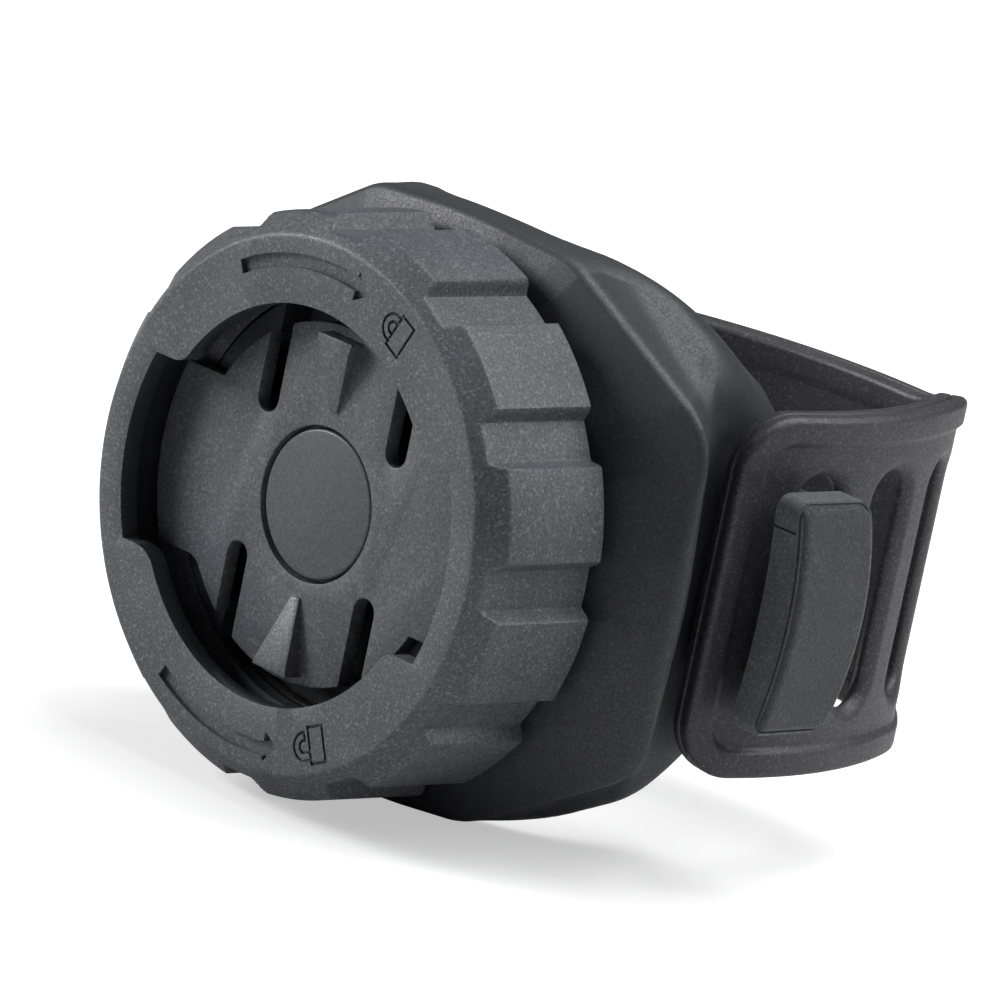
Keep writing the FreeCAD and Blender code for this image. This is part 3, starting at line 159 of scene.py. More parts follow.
def turn_outwards(merge=0):
    """Merges the doubled points of the active piece and turns its faces outwards."""
    bpy.ops.object.mode_set(mode="EDIT")
    bpy.ops.mesh.select_all(action="SELECT")
    if merge:
        bpy.ops.mesh.remove_doubles(threshold=merge)
    bpy.ops.mesh.normals_make_consistent(inside=False)
    bpy.ops.object.mode_set(mode="OBJECT")


def combine(piece, tool, operation="DIFFERENCE"):
    """Cuts a tool out of a piece, or adds it, and clears the tool away."""
    only(piece)
    cut = piece.modifiers.new(operation.lower(), "BOOLEAN")
    cut.operation = operation
    cut.solver = "EXACT"
    cut.object = tool
    bpy.ops.object.modifier_apply(modifier=cut.name)
    bpy.data.objects.remove(tool)


def smooth_shade(piece, angle=35):
    """Smooth shading up to that many degrees, which leaves flat faces flat."""
    only(piece)
    bpy.ops.object.shade_smooth_by_angle(angle=radians(angle))
    weighting = piece.modifiers.new("weighted normals", "WEIGHTED_NORMAL")
    weighting.keep_sharp = True
    bpy.ops.object.modifier_apply(modifier=weighting.name)


def box(name, low_corner, high_corner):
    """A block between two corners."""
    low_corner, high_corner = Vector(low_corner), Vector(high_corner)
    only()
    bpy.ops.mesh.primitive_cube_add(size=1, location=(low_corner + high_corner) / 2)
    block = bpy.context.object
    block.name = name
    block.scale = high_corner - low_corner
    bpy.ops.object.transform_apply(location=True, rotation=True, scale=True)
    return block


def rod(radius, length, place=(0, 0, 0), turned=(0, 0, 0), sides=180):
    """A round bar, along the handlebar unless it is turned."""
    only()
    bpy.ops.mesh.primitive_cylinder_add(
        vertices=sides, radius=radius, depth=length, location=place, rotation=turned)
    bar = bpy.context.object
    bpy.ops.object.transform_apply(location=True, rotation=True, scale=True)
    return bar


def linear(code):
    """The linear colour of an sRGB hex value."""
    parts = [int(code[i:i + 2], 16) / 255 for i in (0, 2, 4)]
    return [c / 12.92 if c < 0.04045 else ((c + 0.055) / 1.055) ** 2.4 for c in parts] + [1.0]


def add_node(tree, kind, inputs=None, **settings):
    """One shader node, with its settings, its constants and its links."""
    node = tree.nodes.new(kind)
    for name, value in settings.items():
        setattr(node, name, value)
    for name, value in (inputs or {}).items():
        if isinstance(value, bpy.types.NodeSocket):
            tree.links.new(value, node.inputs[name])
        else:
            node.inputs[name].default_value = value
    return node


def start_material(name):
    """An empty material and its node tree."""
    material = bpy.data.materials.new(name)
    material.use_nodes = True
    material.node_tree.nodes.clear()
    return material, material.node_tree


def finish_with(piece, material):
    """Gives a piece one material all over."""
    piece.data.materials.clear()
    piece.data.materials.append(material)


def eroded_plastic(name, dark, light, roughness, grain=0.00022, depth=0.000016,
                   glint=0.16, painted_glints=0.05):
    """Moulded plastic with the matt grain of a spark-eroded mould. Its small glints are partly
    glossy grains and partly painted glints, which are light specks mixed into its colour.

    The real grain is about 0.05 mm. It is drawn at 0.22 mm, so that it shows. The
    wider blotches, 9 mm across, are where the moulding flowed and was handled.
    """
    material, tree = start_material(name)
    place = add_node(tree, "ShaderNodeTexCoord")
    fine = add_node(tree, "ShaderNodeTexNoise", {
        "Vector": place.outputs["Object"], "Scale": 1 / grain, "Detail": 4.0,
        "Roughness": 0.7})
    blotch = add_node(tree, "ShaderNodeTexNoise", {
        "Vector": place.outputs["Object"], "Scale": 1 / 0.009, "Detail": 3.0,
        "Roughness": 0.5})
    handled = add_node(tree, "ShaderNodeMath", {
        0: blotch.outputs["Fac"], 1: 0.3}, operation="MULTIPLY")
    blend = add_node(tree, "ShaderNodeMath", {
        0: fine.outputs["Fac"], 1: handled.outputs[0]}, operation="ADD")
    spread = add_node(tree, "ShaderNodeMapRange", {
        "Value": blend.outputs[0], "From Min": 0.48, "From Max": 0.82,
        "To Min": 0.0, "To Max": 1.0})
    colour = add_node(tree, "ShaderNodeValToRGB", {"Fac": spread.outputs["Result"]})
    colour.color_ramp.elements[0].color = linear(dark)
    colour.color_ramp.elements[1].color = linear(light)
    # Painted glints: light specks mixed into the colour, which stand in for the grain's glints
    # of light.
    glint_cells = add_node(tree, "ShaderNodeTexVoronoi", {
        "Vector": place.outputs["Object"], "Scale": 1 / (0.9 * grain), "Randomness": 1.0})
    chosen = add_node(tree, "ShaderNodeSeparateColor", {"Color": glint_cells.outputs["Color"]})
    bright = add_node(tree, "ShaderNodeMapRange", {
        "Value": chosen.outputs["Red"], "From Min": 0.80, "From Max": 1.0,
        "To Min": 0.0, "To Max": painted_glints})
    lit = add_node(tree, "ShaderNodeMix", {
        "Factor": bright.outputs["Result"], "A": colour.outputs["Color"],
        "B": linear("b8b8ba")}, data_type="RGBA")
    gloss = add_node(tree, "ShaderNodeMapRange", {
        "Value": fine.outputs["Fac"], "From Min": 0.35, "From Max": 0.68,
        "To Min": roughness + 0.06, "To Max": roughness - glint})
    bump = add_node(tree, "ShaderNodeBump", {
        "Height": fine.outputs["Fac"], "Strength": 1.0, "Distance": depth})
    shader = add_node(tree, "ShaderNodeBsdfPrincipled", {
        "Base Color": lit.outputs["Result"], "Roughness": gloss.outputs["Result"],
        "Normal": bump.outputs["Normal"], "IOR": 1.48})
    add_node(tree, "ShaderNodeOutputMaterial", {"Surface": shader.outputs["BSDF"]})
    return material


def shell_outline(section):
    """One section's rounded outline, as (x, z) points that match between sections."""
    wide, high, shoulder, flank, bend = section[1:]
    quarter = [(wide, 0), (wide * flank[0], high * flank[1]),
               (wide * shoulder[0], high * shoulder[1]), (0, high)]
    corners = [Vector(corner) for corner in quarter]
    corners += [Vector((-x, z)) for x, z in quarter[2::-1]]
    corners += [Vector((-x, -z)) for x, z in quarter[1:]]
    corners += [Vector((x, -z)) for x, z in quarter[2:0:-1]]
    befores = corners[-1:] + corners[:-1]
    afters = corners[1:] + corners[:1]
    points = []
    for before, corner, after in zip(befores, corners, afters):
        back, ahead = before - corner, after - corner
        middle_of_side = min(abs(corner.x), abs(corner.y)) < 0.000001
        radius = SIDE_BEND if middle_of_side else bend
        longest = 0.45 * min(back.length, ahead.length)
        reach = min(radius / tan(back.angle(ahead) / 2), longest)
        start = corner + back.normalized() * reach
        end = corner + ahead.normalized() * reach
        for step in range(BEND_STEPS + 1):
            t = step / BEND_STEPS
            points.append(start * (1 - t) ** 2 + corner * 2 * t * (1 - t) + end * t * t)
    return points


def eased(depths, values, depth):
    """A smooth curve through the values, which never swings past them."""
    if depth <= depths[0]:
        return values[0]
    spans = [(b - a) / (d - c) for a, b, c, d in zip(values, values[1:], depths, depths[1:])]
    slopes = [2 * a * b / (a + b) if a * b > 0 else 0 for a, b in zip(spans, spans[1:])]
    slopes = [spans[0]] + slopes + [spans[-1]]
    i = max(j for j in range(len(spans)) if depth >= depths[j])
    step = depths[i + 1] - depths[i]
    t = (depth - depths[i]) / step
    return ((1 + 2 * t) * (1 - t) ** 2 * values[i] + t * (1 - t) ** 2 * step * slopes[i]
            + t * t * (3 - 2 * t) * values[i + 1] + t * t * (t - 1) * step * slopes[i + 1])


outlines = [shell_outline(section) for section in SHELL_SECTIONS]
section_depths = [section[0] for section in SHELL_SECTIONS]
around = len(outlines[0])
only()
bpy.ops.mesh.primitive_grid_add(
    x_subdivisions=around, y_subdivisions=FILLET_STEPS + SWEEP_STEPS + 1, size=1)
body_shell = bpy.context.object
body_shell.name = "body_shell"
for index, point in enumerate(body_shell.data.vertices):
    ring, place = divmod(index, around + 1)
    spot = outlines[0][place % around]
    dome = SHELL_FRONT + DOME_SLOPE * (spot.length - RIM_ROUND - DOME_START)
    if ring == 0:
        spot = spot.normalized() * DOME_HIDDEN
        depth = SHELL_FRONT + DOME_SLOPE * (DOME_HIDDEN - DOME_START)
    elif ring <= FILLET_STEPS:
        turn = pi / 2 * (ring - 1) / FILLET_STEPS
        spot = spot.normalized() * (spot.length - RIM_ROUND * (1 - sin(turn)))
        depth = dome + RIM_ROUND * (1 - cos(turn)) * RIM_STRETCH
    else:
        rim = dome + RIM_ROUND * RIM_STRETCH
        depth = rim + (HORN_END - rim) * (ring - FILLET_STEPS - 1) / SWEEP_STEPS
        line = [outline[place % around] for outline in outlines]
        spot = Vector([eased(section_depths, [corner[axis] for corner in line], depth)
                       for axis in (0, 1)])
    point.co = (spot.x, depth - FACE_TO_BAR, spot.y)
only(body_shell)
bpy.ops.object.mode_set(mode="EDIT")
bpy.ops.mesh.select_all(action="SELECT")
bpy.ops.mesh.remove_doubles(threshold=0.000001)
bpy.ops.mesh.fill_holes(sides=0)
turn_outwards()
combine(body_shell, rod(SADDLE_RADIUS, SADDLE_CUT))
combine(body_shell, box("eye_gap", (EYE_GAP_OUTSIDE, EYE_GAP_FRONT, -EYE_GAP_HALF),
                        (EYE_GAP_INSIDE, EYE_GAP_BACK, EYE_GAP_HALF)))
round_edges(body_shell, SHELL_EDGE, segments=3, sharp=48)
hub = moulding_of("body", "hub", 0)
core = rod(HUB_RADIUS, HUB_LENGTH, (0, HUB_MIDDLE - FACE_TO_BAR, 0), (pi / 2, 0, 0))
combine(hub, core, "INTERSECT")
combine(body_shell, hub, "UNION")
smooth_shade(body_shell, 32)

# Glass-filled nylon from a spark-eroded mould looks almost black and matt, with
# hardly a glint. The few glints are partly glossy grains and partly painted glints in its
# colour.
body_plastic = eroded_plastic("glass_filled_nylon_eroded", "1d1e22", "303137", 0.56, painted_glints=0.03)
finish_with(body_shell, body_plastic)
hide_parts("body")
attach(body_shell, "mount")


# Collar: the twist collar is a second moulding of nylon, from a paler batch. Its
# lip has two lobes that let the computer's lugs in, its rim has twelve finger
# valleys, and its signs are raised in the mould, so they come out sunk.

LIP_RADIUS = 0.0165
LIP_THICKNESS = 0.0018
FACE_RADIUS = 0.0218
FACE_ROUND = (0.0220, 0.000035)
BEVEL_START = (0.02215, 0.00012)
BEVEL_STEP = (0.000175, 0.000183)
BEVEL_RINGS = 11
SHOULDER = (0.0241, 0.00225)
RIM_RADIUS = 0.0243
COLLAR_LENGTH = 0.0127
BORE_RADIUS = 0.0208
RIB_RADIUS = 0.0176
RIB_FRONT = 0.0055
RIB_BACK = 0.0069
CAVITY_RADIUS = 0.0206
RING_STEPS = 960
VALLEY_RADIUS = 0.0229
VALLEY_COUNT = 12
VALLEY_FLOOR = radians(3.9)
VALLEY_MOUTH = radians(6.3)
COLLAR_EDGE = 0.00012
LOBE_RADIUS = 0.0194
LOBE_SQUARE_SIDE = 0.0077
LOBE_ROUND_SIDE = 0.0083
LOBE_HEART = 0.010
SQUARE_NOSE = 0.0019
ROUND_NOSE = 0.0030
SIGN_DEPTH = 0.0005
SIGN_LINE = 0.00026
SIGN_WALL_HALF = 0.0004
SHAFT_OUTSIDE = 0.0206
SHAFT_INSIDE = 0.0194
SHAFT_TAIL = 120
# The arrow head's three points, as radius and degrees
ARROW_HEAD = ((0.0211, 80.7), (0.0197, 76.0), (0.0186, 80.3))
LOCK_HALF = 0.0015
LOCK_TOP = 0.00015
SHACKLE_OUTSIDE = 0.00115
SHACKLE_INSIDE = 0.0005
SHUT_HEIGHT = 0.0004
OPEN_HEIGHT = 0.0008
FREE_END = 0.0006
# Each padlock's place on the face, as degrees and radius
SHUT_PLACE = (63.7, 0.0194)
OPEN_PLACE = (-64.4, 0.01965)


def turned_ring(name, profile, steps):
    """A ring turned about the twist axis, through (radius, depth) points."""
    radius, depth = profile[0]
    only()
    bpy.ops.mesh.primitive_circle_add(
        vertices=steps, radius=radius, location=(0, depth - FACE_TO_BAR, 0),
        rotation=(pi / 2, 0, 0))
    ring = bpy.context.object
    ring.name = name
    bpy.ops.object.transform_apply(location=True, rotation=True, scale=True)
    bpy.ops.object.mode_set(mode="EDIT")
    bpy.ops.mesh.select_all(action="SELECT")
    for next_radius, next_depth in profile[1:] + profile[:1]:
        bpy.ops.mesh.extrude_edges_move(
            TRANSFORM_OT_translate={"value": (0, next_depth - depth, 0)})
        grow = next_radius / radius
        bpy.ops.transform.resize(
            value=(grow, 1, grow), center_override=(0, next_depth - FACE_TO_BAR, 0))
        radius, depth = next_radius, next_depth
    turn_outwards(merge=0.000001)
    return ring


def arc(centre, radius, start, end, count):
    """Points on an arc, as pairs of coordinates in its plane."""
    turns = [start + (end - start) * i / count for i in range(count + 1)]
    return [(centre[0] + radius * cos(t), centre[1] + radius * sin(t)) for t in turns]


def prism(name, outline, front, back):
    """A block with that (x, z) outline, from one depth to another."""
    only()
    bpy.ops.mesh.primitive_circle_add(vertices=len(outline), radius=0.001, fill_type="NGON")
    block = bpy.context.object
    block.name = name
    for corner, (x, z) in zip(block.data.vertices, outline):
        corner.co = (x, front - FACE_TO_BAR, z)
    bpy.ops.object.mode_set(mode="EDIT")
    bpy.ops.mesh.select_all(action="SELECT")
    bpy.ops.mesh.extrude_region_move(TRANSFORM_OT_translate={"value": (0, back - front, 0)})
    turn_outwards()
    return block


def engraved(name, points, closed):
    """A thin wall along (x, z) points, which cuts one line of a sign."""
    line = bpy.data.curves.new(name, "CURVE")
    line.dimensions = "3D"
    spline = line.splines.new("POLY")
    spline.points.add(len(points) - 1)
    for point, (x, z) in zip(spline.points, points):
        point.co = (x, z, 0, 1)
    spline.use_cyclic_u = closed
    line.extrude = SIGN_WALL_HALF
    wall = bpy.data.objects.new(name, line)
    bpy.context.scene.collection.objects.link(wall)
    wall.location = (0, -FACE_TO_BAR - 0.0001, 0)
    wall.rotation_euler = (pi / 2, 0, 0)
    only(wall)
    bpy.ops.object.convert(target="MESH")
    wall = bpy.context.object
    bpy.ops.object.transform_apply(location=True, rotation=True, scale=True)
    width = wall.modifiers.new("line width", "SOLIDIFY")
    width.thickness = SIGN_LINE
    width.offset = 0
    width.use_even_offset = True
    bpy.ops.object.modifier_apply(modifier=width.name)
    turn_outwards(merge=0.000001)
    return wall


def smooth_rise(share):
    """From 0 to 1, with a level start and a level end."""
    return share * share * (3 - 2 * share)


def nose(side, radius):
    """The centre of the arc that rounds a lobe's flank into the lip's inner edge."""
    height = side + radius
    return (((LIP_RADIUS + radius) ** 2 - height ** 2) ** 0.5, height)


collar_profile = [(LIP_RADIUS, 0.0), (FACE_RADIUS, 0.0), FACE_ROUND]
collar_profile += [(BEVEL_START[0] + BEVEL_STEP[0] * i, BEVEL_START[1] + BEVEL_STEP[1] * i)
                   for i in range(BEVEL_RINGS)]
collar_profile += [
    SHOULDER, (RIM_RADIUS - 0.00005, COLLAR_LENGTH - 0.0003),
    (RIM_RADIUS - 0.00015, COLLAR_LENGTH - 0.0001), (RIM_RADIUS - 0.0004, COLLAR_LENGTH),
    (BORE_RADIUS, COLLAR_LENGTH), (BORE_RADIUS, RIB_BACK), (RIB_RADIUS, RIB_BACK),
    (RIB_RADIUS, RIB_FRONT), (CAVITY_RADIUS, RIB_FRONT), (CAVITY_RADIUS, LIP_THICKNESS),
    (LIP_RADIUS, LIP_THICKNESS)]
collar_ring = turned_ring("collar_ring", collar_profile, RING_STEPS)
for point in collar_ring.data.vertices:
    radius = hypot(point.co.x, point.co.z)
    turn = atan2(point.co.z, point.co.x) % (2 * pi / VALLEY_COUNT)
    off = min(turn, 2 * pi / VALLEY_COUNT - turn)
    climb = min(max((off - VALLEY_FLOOR) / (VALLEY_MOUTH - VALLEY_FLOOR), 0), 1)
    limit = VALLEY_RADIUS + (RIM_RADIUS - VALLEY_RADIUS) * smooth_rise(climb)
    if radius > limit:
        point.co.x *= limit / radius
        point.co.z *= limit / radius

square_centre = nose(LOBE_SQUARE_SIDE, SQUARE_NOSE)
round_centre = nose(LOBE_ROUND_SIDE, ROUND_NOSE)
round_turn = atan2(round_centre[1], round_centre[0])
square_turn = atan2(square_centre[1], square_centre[0])
round_end = atan2(LOBE_ROUND_SIDE, (LOBE_RADIUS ** 2 - LOBE_ROUND_SIDE ** 2) ** 0.5)
square_end = atan2(LOBE_SQUARE_SIDE, (LOBE_RADIUS ** 2 - LOBE_SQUARE_SIDE ** 2) ** 0.5)
square_flank = arc(square_centre, SQUARE_NOSE, square_turn - pi, -pi / 2, 12)
lobe_outline = arc((0, 0), LOBE_RADIUS, -square_end, round_end, 40)
lobe_outline += arc(round_centre, ROUND_NOSE, -pi / 2, round_turn - pi, 12)
lobe_outline += [(LOBE_HEART, LOBE_HEART), (LOBE_HEART, -LOBE_HEART)]
lobe_outline += [(x, -z) for x, z in square_flank]
for side in (1, -1):
    placed = [(side * x, side * z) for x, z in lobe_outline]
    combine(collar_ring, prism("lobe", placed, -0.001, LIP_THICKNESS + 0.0008))
round_edges(collar_ring, COLLAR_EDGE)

shaft_end = ARROW_HEAD[0][1] + 0.3
arrow_outline = arc((0, 0), SHAFT_OUTSIDE, radians(SHAFT_TAIL), radians(shaft_end), 24)
arrow_outline += [(r * cos(radians(a)), r * sin(radians(a))) for r, a in ARROW_HEAD]
shaft_end = ARROW_HEAD[2][1] + 0.3
arrow_outline += arc((0, 0), SHAFT_INSIDE, radians(shaft_end), radians(SHAFT_TAIL), 24)
for side in (1, -1):
    placed = [(x, side * z) for x, z in arrow_outline]
    combine(collar_ring, prism("arrow", placed, -0.0005, SIGN_DEPTH))

lock_body = [(-LOCK_HALF, -LOCK_HALF), (LOCK_HALF, -LOCK_HALF),
             (LOCK_HALF, LOCK_TOP), (-LOCK_HALF, LOCK_TOP)]
shut_outside = [(-SHACKLE_OUTSIDE, LOCK_TOP)]
shut_outside += arc((0, SHUT_HEIGHT), SHACKLE_OUTSIDE, pi, 0, 12)
shut_outside += [(SHACKLE_OUTSIDE, LOCK_TOP)]
shut_inside = [(-SHACKLE_INSIDE, LOCK_TOP)]
shut_inside += arc((0, SHUT_HEIGHT), SHACKLE_INSIDE, pi, 0, 8)
shut_inside += [(SHACKLE_INSIDE, LOCK_TOP)]
open_shackle = [(SHACKLE_OUTSIDE, LOCK_TOP)]
open_shackle += arc((0, OPEN_HEIGHT), SHACKLE_OUTSIDE, 0, pi, 12)
open_shackle += [(-SHACKLE_OUTSIDE, FREE_END), (-SHACKLE_INSIDE, FREE_END)]
open_shackle += arc((0, OPEN_HEIGHT), SHACKLE_INSIDE, pi, 0, 8)
open_shackle += [(SHACKLE_INSIDE, LOCK_TOP)]
sign_lines = (
    (SHUT_PLACE, lock_body, True),
    (SHUT_PLACE, shut_outside, False),
    (SHUT_PLACE, shut_inside, False),
    (OPEN_PLACE, lock_body, True),
    (OPEN_PLACE, open_shackle, False),
)
for (turn, radius), points, closed in sign_lines:
    outward = (cos(radians(turn)), sin(radians(turn)))
    upward = (-outward[1], outward[0]) if turn > 0 else (outward[1], -outward[0])
    placed = [((radius + x) * outward[0] + z * upward[0],
               (radius + x) * outward[1] + z * upward[1]) for x, z in points]
    combine(collar_ring, engraved("sign_line", placed, closed))
smooth_shade(collar_ring)

# The paler nylon shows its mould's coarse grain as a dark grey with many glints, partly glossy
# grains and partly painted glints in its colour.
collar_plastic = eroded_plastic(
    "collar_nylon_eroded", "2a2b30", "525359", 0.50, depth=0.00004, painted_glints=0.15)
# The walls inside the lip are drawn along the mould and come out smooth. Their darker colour is
# painted shade of the deep cavity.
inner_wall_painted_shade = eroded_plastic(
    "collar_nylon_walls_painted_shade", "232428", "34353a", 0.36, painted_glints=0.0)
finish_with(collar_ring, collar_plastic)
collar_ring.data.materials.append(inner_wall_painted_shade)
# Faces deep inside the lip, facing inwards, take the painted shade.
for face in collar_ring.data.polygons:
    radius = hypot(face.center.x, face.center.z)
    inward = -(face.normal.x * face.center.x + face.normal.z * face.center.z) / radius
    below_signs = face.center.y > SIGN_DEPTH + 0.00025 - FACE_TO_BAR
    if radius < BORE_RADIUS + 0.0001 and inward > 0.5 and below_signs:
        face.material_index = 1
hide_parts("locking_collar")
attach(collar_ring, "collar")


# Plate: the receiver plate behind the lip is moulded in nylon and screwed on from
# behind. Its two tongues spring between their slots.

PLATE_EDGE = 0.00015

# Nylon from a finer mould looks an even dark grey, with fewer glints than the collar, partly
# glossy grains and partly painted glints in its colour.
plate_plastic = eroded_plastic(
    "plate_nylon_eroded", "323338", "54555b", 0.48, depth=0.00003, painted_glints=0.12)
plate = moulding_of("receiver_plate", "bayonet_plate", PLATE_EDGE)
finish_with(plate, plate_plastic)
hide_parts("receiver_plate")
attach(plate, "mount")


# Cap: a thin bare disc of nylon, pressed into the plate, closes the recess of the
# screw in the middle.

CAP_EDGE = 0.00015

# The finest grain of all the mouldings gives the cap an even, silky grey.
cap_plastic = eroded_plastic("cap_nylon_eroded", "333439", "47484e", 0.5)
cap = moulding_of("centre_cap", "bare_cap", CAP_EDGE)
finish_with(cap, cap_plastic)
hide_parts("centre_cap")
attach(cap, "mount")


# Hook: the strap's slots catch behind a paddle-shaped head on a flat neck. The
# head's face is a thin leathery-grained lid, welded into the nylon frame that makes
# its side wall, so a fine groove runs between them.

HEAD_BACK = 0.0303
HEAD_FACE = 0.03327
HEAD_FRONT = -0.0103
HEAD_REAR = -0.00151
HEAD_HALF = 0.0100
HEAD_CORNER = 0.0016
HEAD_SLICES = 24
REAR_BOW = 0.0015
FRONT_BOW = 0.0009
HEAD_CROWN = 0.0007
HOOK_EDGE = 0.00016
LID_RIM = 0.00025
LID_GROOVE = 0.00018
LID_ROUND = 0.0006
PARTING_LOW = 0.00720
PARTING_HIGH = 0.00736
PARTING_DEPTH = 0.00065
NECK_HALF = 0.0085
NECK_LOW = (0.0200, -0.0039, -NECK_HALF)
NECK_HIGH = (0.0309, -0.0015, NECK_HALF)
ROOT_LOW = (0.0197, -0.0062, -NECK_HALF + 0.0001)
ROOT_HIGH = (0.0227, -0.00145, NECK_HALF - 0.0001)


def select_faces(piece, wanted):
    """Selects the faces that pass a test on their middle and normal, in edit mode."""
    if piece.mode != "EDIT":
        only(piece)
        bpy.ops.object.mode_set(mode="EDIT")
    bpy.ops.mesh.select_mode(type="FACE")
    bpy.ops.mesh.select_all(action="DESELECT")
    bpy.ops.object.mode_set(mode="OBJECT")
    for face in piece.data.polygons:
        face.select = wanted(face.center, face.normal)
    bpy.ops.object.mode_set(mode="EDIT")


def step_in(width, shift, axis=1):
    """Insets the selected faces and moves them along one axis."""
    bpy.ops.mesh.inset(thickness=width, depth=0)
    bpy.ops.transform.translate(value=[shift if i == axis else 0 for i in range(3)])


def round_over(radius, way, steps=4, axis=1):
    """Steps the selected faces in and along an axis, so that their edge is rounded."""
    for step in range(steps):
        a, b = pi / 2 * step / steps, pi / 2 * (step + 1) / steps
        step_in(radius * (cos(a) - cos(b)), way * radius * (sin(b) - sin(a)), axis)


hook = box("paddle_hook", (HEAD_BACK, HEAD_FRONT, -HEAD_HALF),
           (HEAD_FACE - LID_ROUND, HEAD_REAR, HEAD_HALF))
only(hook)
bpy.ops.object.mode_set(mode="EDIT")
bpy.ops.mesh.select_mode(type="EDGE")
bpy.ops.mesh.select_all(action="DESELECT")
bpy.ops.object.mode_set(mode="OBJECT")
for edge in hook.data.edges:
    start, end = [hook.data.vertices[i].co for i in edge.vertices]
    edge.select = abs(start.x - end.x) > 0.001
bpy.ops.object.mode_set(mode="EDIT")
bpy.ops.mesh.bevel(offset=HEAD_CORNER, segments=7)
for step in range(1, HEAD_SLICES):
    height = HEAD_HALF * (2 * step / HEAD_SLICES - 1)
    bpy.ops.mesh.select_all(action="SELECT")
    bpy.ops.mesh.bisect(plane_co=(0, 0, height), plane_no=(0, 0, 1))
bpy.ops.object.mode_set(mode="OBJECT")
select_faces(hook, lambda middle, normal: normal.x > 0.9)
step_in(LID_RIM, 0, 0)
for sink in (-LID_GROOVE, 0, LID_GROOVE):
    step_in(LID_GROOVE / 3, sink, 0)
round_over(LID_ROUND, 1, 5, 0)
bpy.ops.object.mode_set(mode="OBJECT")
for point in hook.data.vertices:
    along = 1 - (point.co.z / HEAD_HALF) ** 2
    point.co.x += HEAD_CROWN * along * (point.co.x - HEAD_BACK) / (HEAD_FACE - HEAD_BACK)
    back = (point.co.y - HEAD_FRONT) / (HEAD_REAR - HEAD_FRONT)
    point.co.y += along * (FRONT_BOW + (REAR_BOW - FRONT_BOW) * back)
combine(hook, box("parting_line", (HEAD_BACK - 0.001, HEAD_FRONT - 0.001, PARTING_LOW),
                  (HEAD_FACE - 0.0004, HEAD_FRONT + PARTING_DEPTH, PARTING_HIGH)))
combine(hook, box("hook_neck", NECK_LOW, NECK_HIGH), "UNION")
combine(hook, box("hook_root", ROOT_LOW, ROOT_HIGH), "UNION")
round_edges(hook, HOOK_EDGE, sharp=50)
smooth_shade(hook, 30)

# The frame's nylon is the palest batch, matt with a few glints, partly glossy grains and partly
# painted glints in its colour.
frame_plastic = eroded_plastic(
    "hook_frame_nylon_eroded", "434448", "626368", 0.54, painted_glints=0.14)
# The lid's mould is etched to a leather grain, which gives it a satin, pebbled look.
# The real pebbles are about 0.2 mm, and are drawn at 0.3 mm, so that they show.
lid_plastic = eroded_plastic(
    "hook_lid_leathery", "282930", "3a3b43", 0.38, grain=0.0003, depth=0.00022, painted_glints=0.06)
finish_with(hook, frame_plastic)
hook.data.materials.append(lid_plastic)
for face in hook.data.polygons:
    past_groove = face.center.x > HEAD_FACE - LID_ROUND + 0.00002
    if past_groove and abs(face.normal.y) < 0.98 and face.normal.x > 0.02:
        face.material_index = 1
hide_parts("strap_hook")
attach(hook, "mount")


# Strap: one silicone moulding with a raised border on both sides. It is moulded
# flat in two mould halves, which leaves the parting groove round its edge, and
# bends round the bar from the slotted tab to the eye on the pin.

STRAP_HALF_THICKNESS = 0.0014
STRAP_LENGTH = 0.0842
STRAP_SLICES = 108
TONGUE_HALF_THICKNESS = 0.0013
TONGUE_OVERLAP = 0.0012
TAB_HALF = 0.0155
BAND_HALF = 0.0138
EYE_HALF = 0.0094
TAB_END = 0.0285
BAND_START = 0.0365
EYE_START = 0.0830
TAB_CORNER = 0.0050
BAND_CORNER = 0.0038
START_THICKNESS = 0.0002
PARTING_GROOVE = 0.00028
EDGE_ROUND = 0.0006
BORDER_WIDTH = 0.0014
BORDER_SLOPE = 0.0008
PANEL_DEPTH = 0.00045
SLOT_PLACES = (0.0090, 0.0182, 0.0274)
SLOT_RADIUS = 0.00235
SLOT_HALF = 0.0103
SLOT_CUT = 0.0022
SLOT_FLARE = 0.0013
SLOT_FLARE_DEPTH = 0.0008
# The steps of a slot's flare: shares of its width and of its depth
FLARE_STEPS = ((0.12, 0.03), (0.24, 0.13), (0.28, 0.24), (0.22, 0.30), (0.14, 0.30))
EYE_TUBE = 0.00235
PIN_BORE = 0.00155
STRAP_START = Vector((0.0255, -0.0108, 0))
STRAP_HEADING = radians(73.2)
# The arcs that the strap follows round the bar: radius and degrees
STRAP_BENDS = ((0.03749, 41.8), (0.00801, 58.4), (0.04300, 41.6), (0.01702, 48.8))
PIN_PLACE = Vector((-0.0200, -0.0040, 0))
LAST_HANDLE = 0.001


def select_rim():
    """Selects the open edges of the mesh that is being edited."""
    bpy.ops.mesh.select_mode(type="EDGE")
    bpy.ops.mesh.select_all(action="DESELECT")
    bpy.ops.mesh.select_non_manifold()


def add_other_half(piece):
    """Mirrors the active piece across the middle of the strap's thickness."""
    halves = piece.modifiers.new("both mould halves", "MIRROR")
    halves.use_axis = (False, True, False)
    halves.merge_threshold = 0.00002
    bpy.ops.object.modifier_apply(modifier=halves.name)


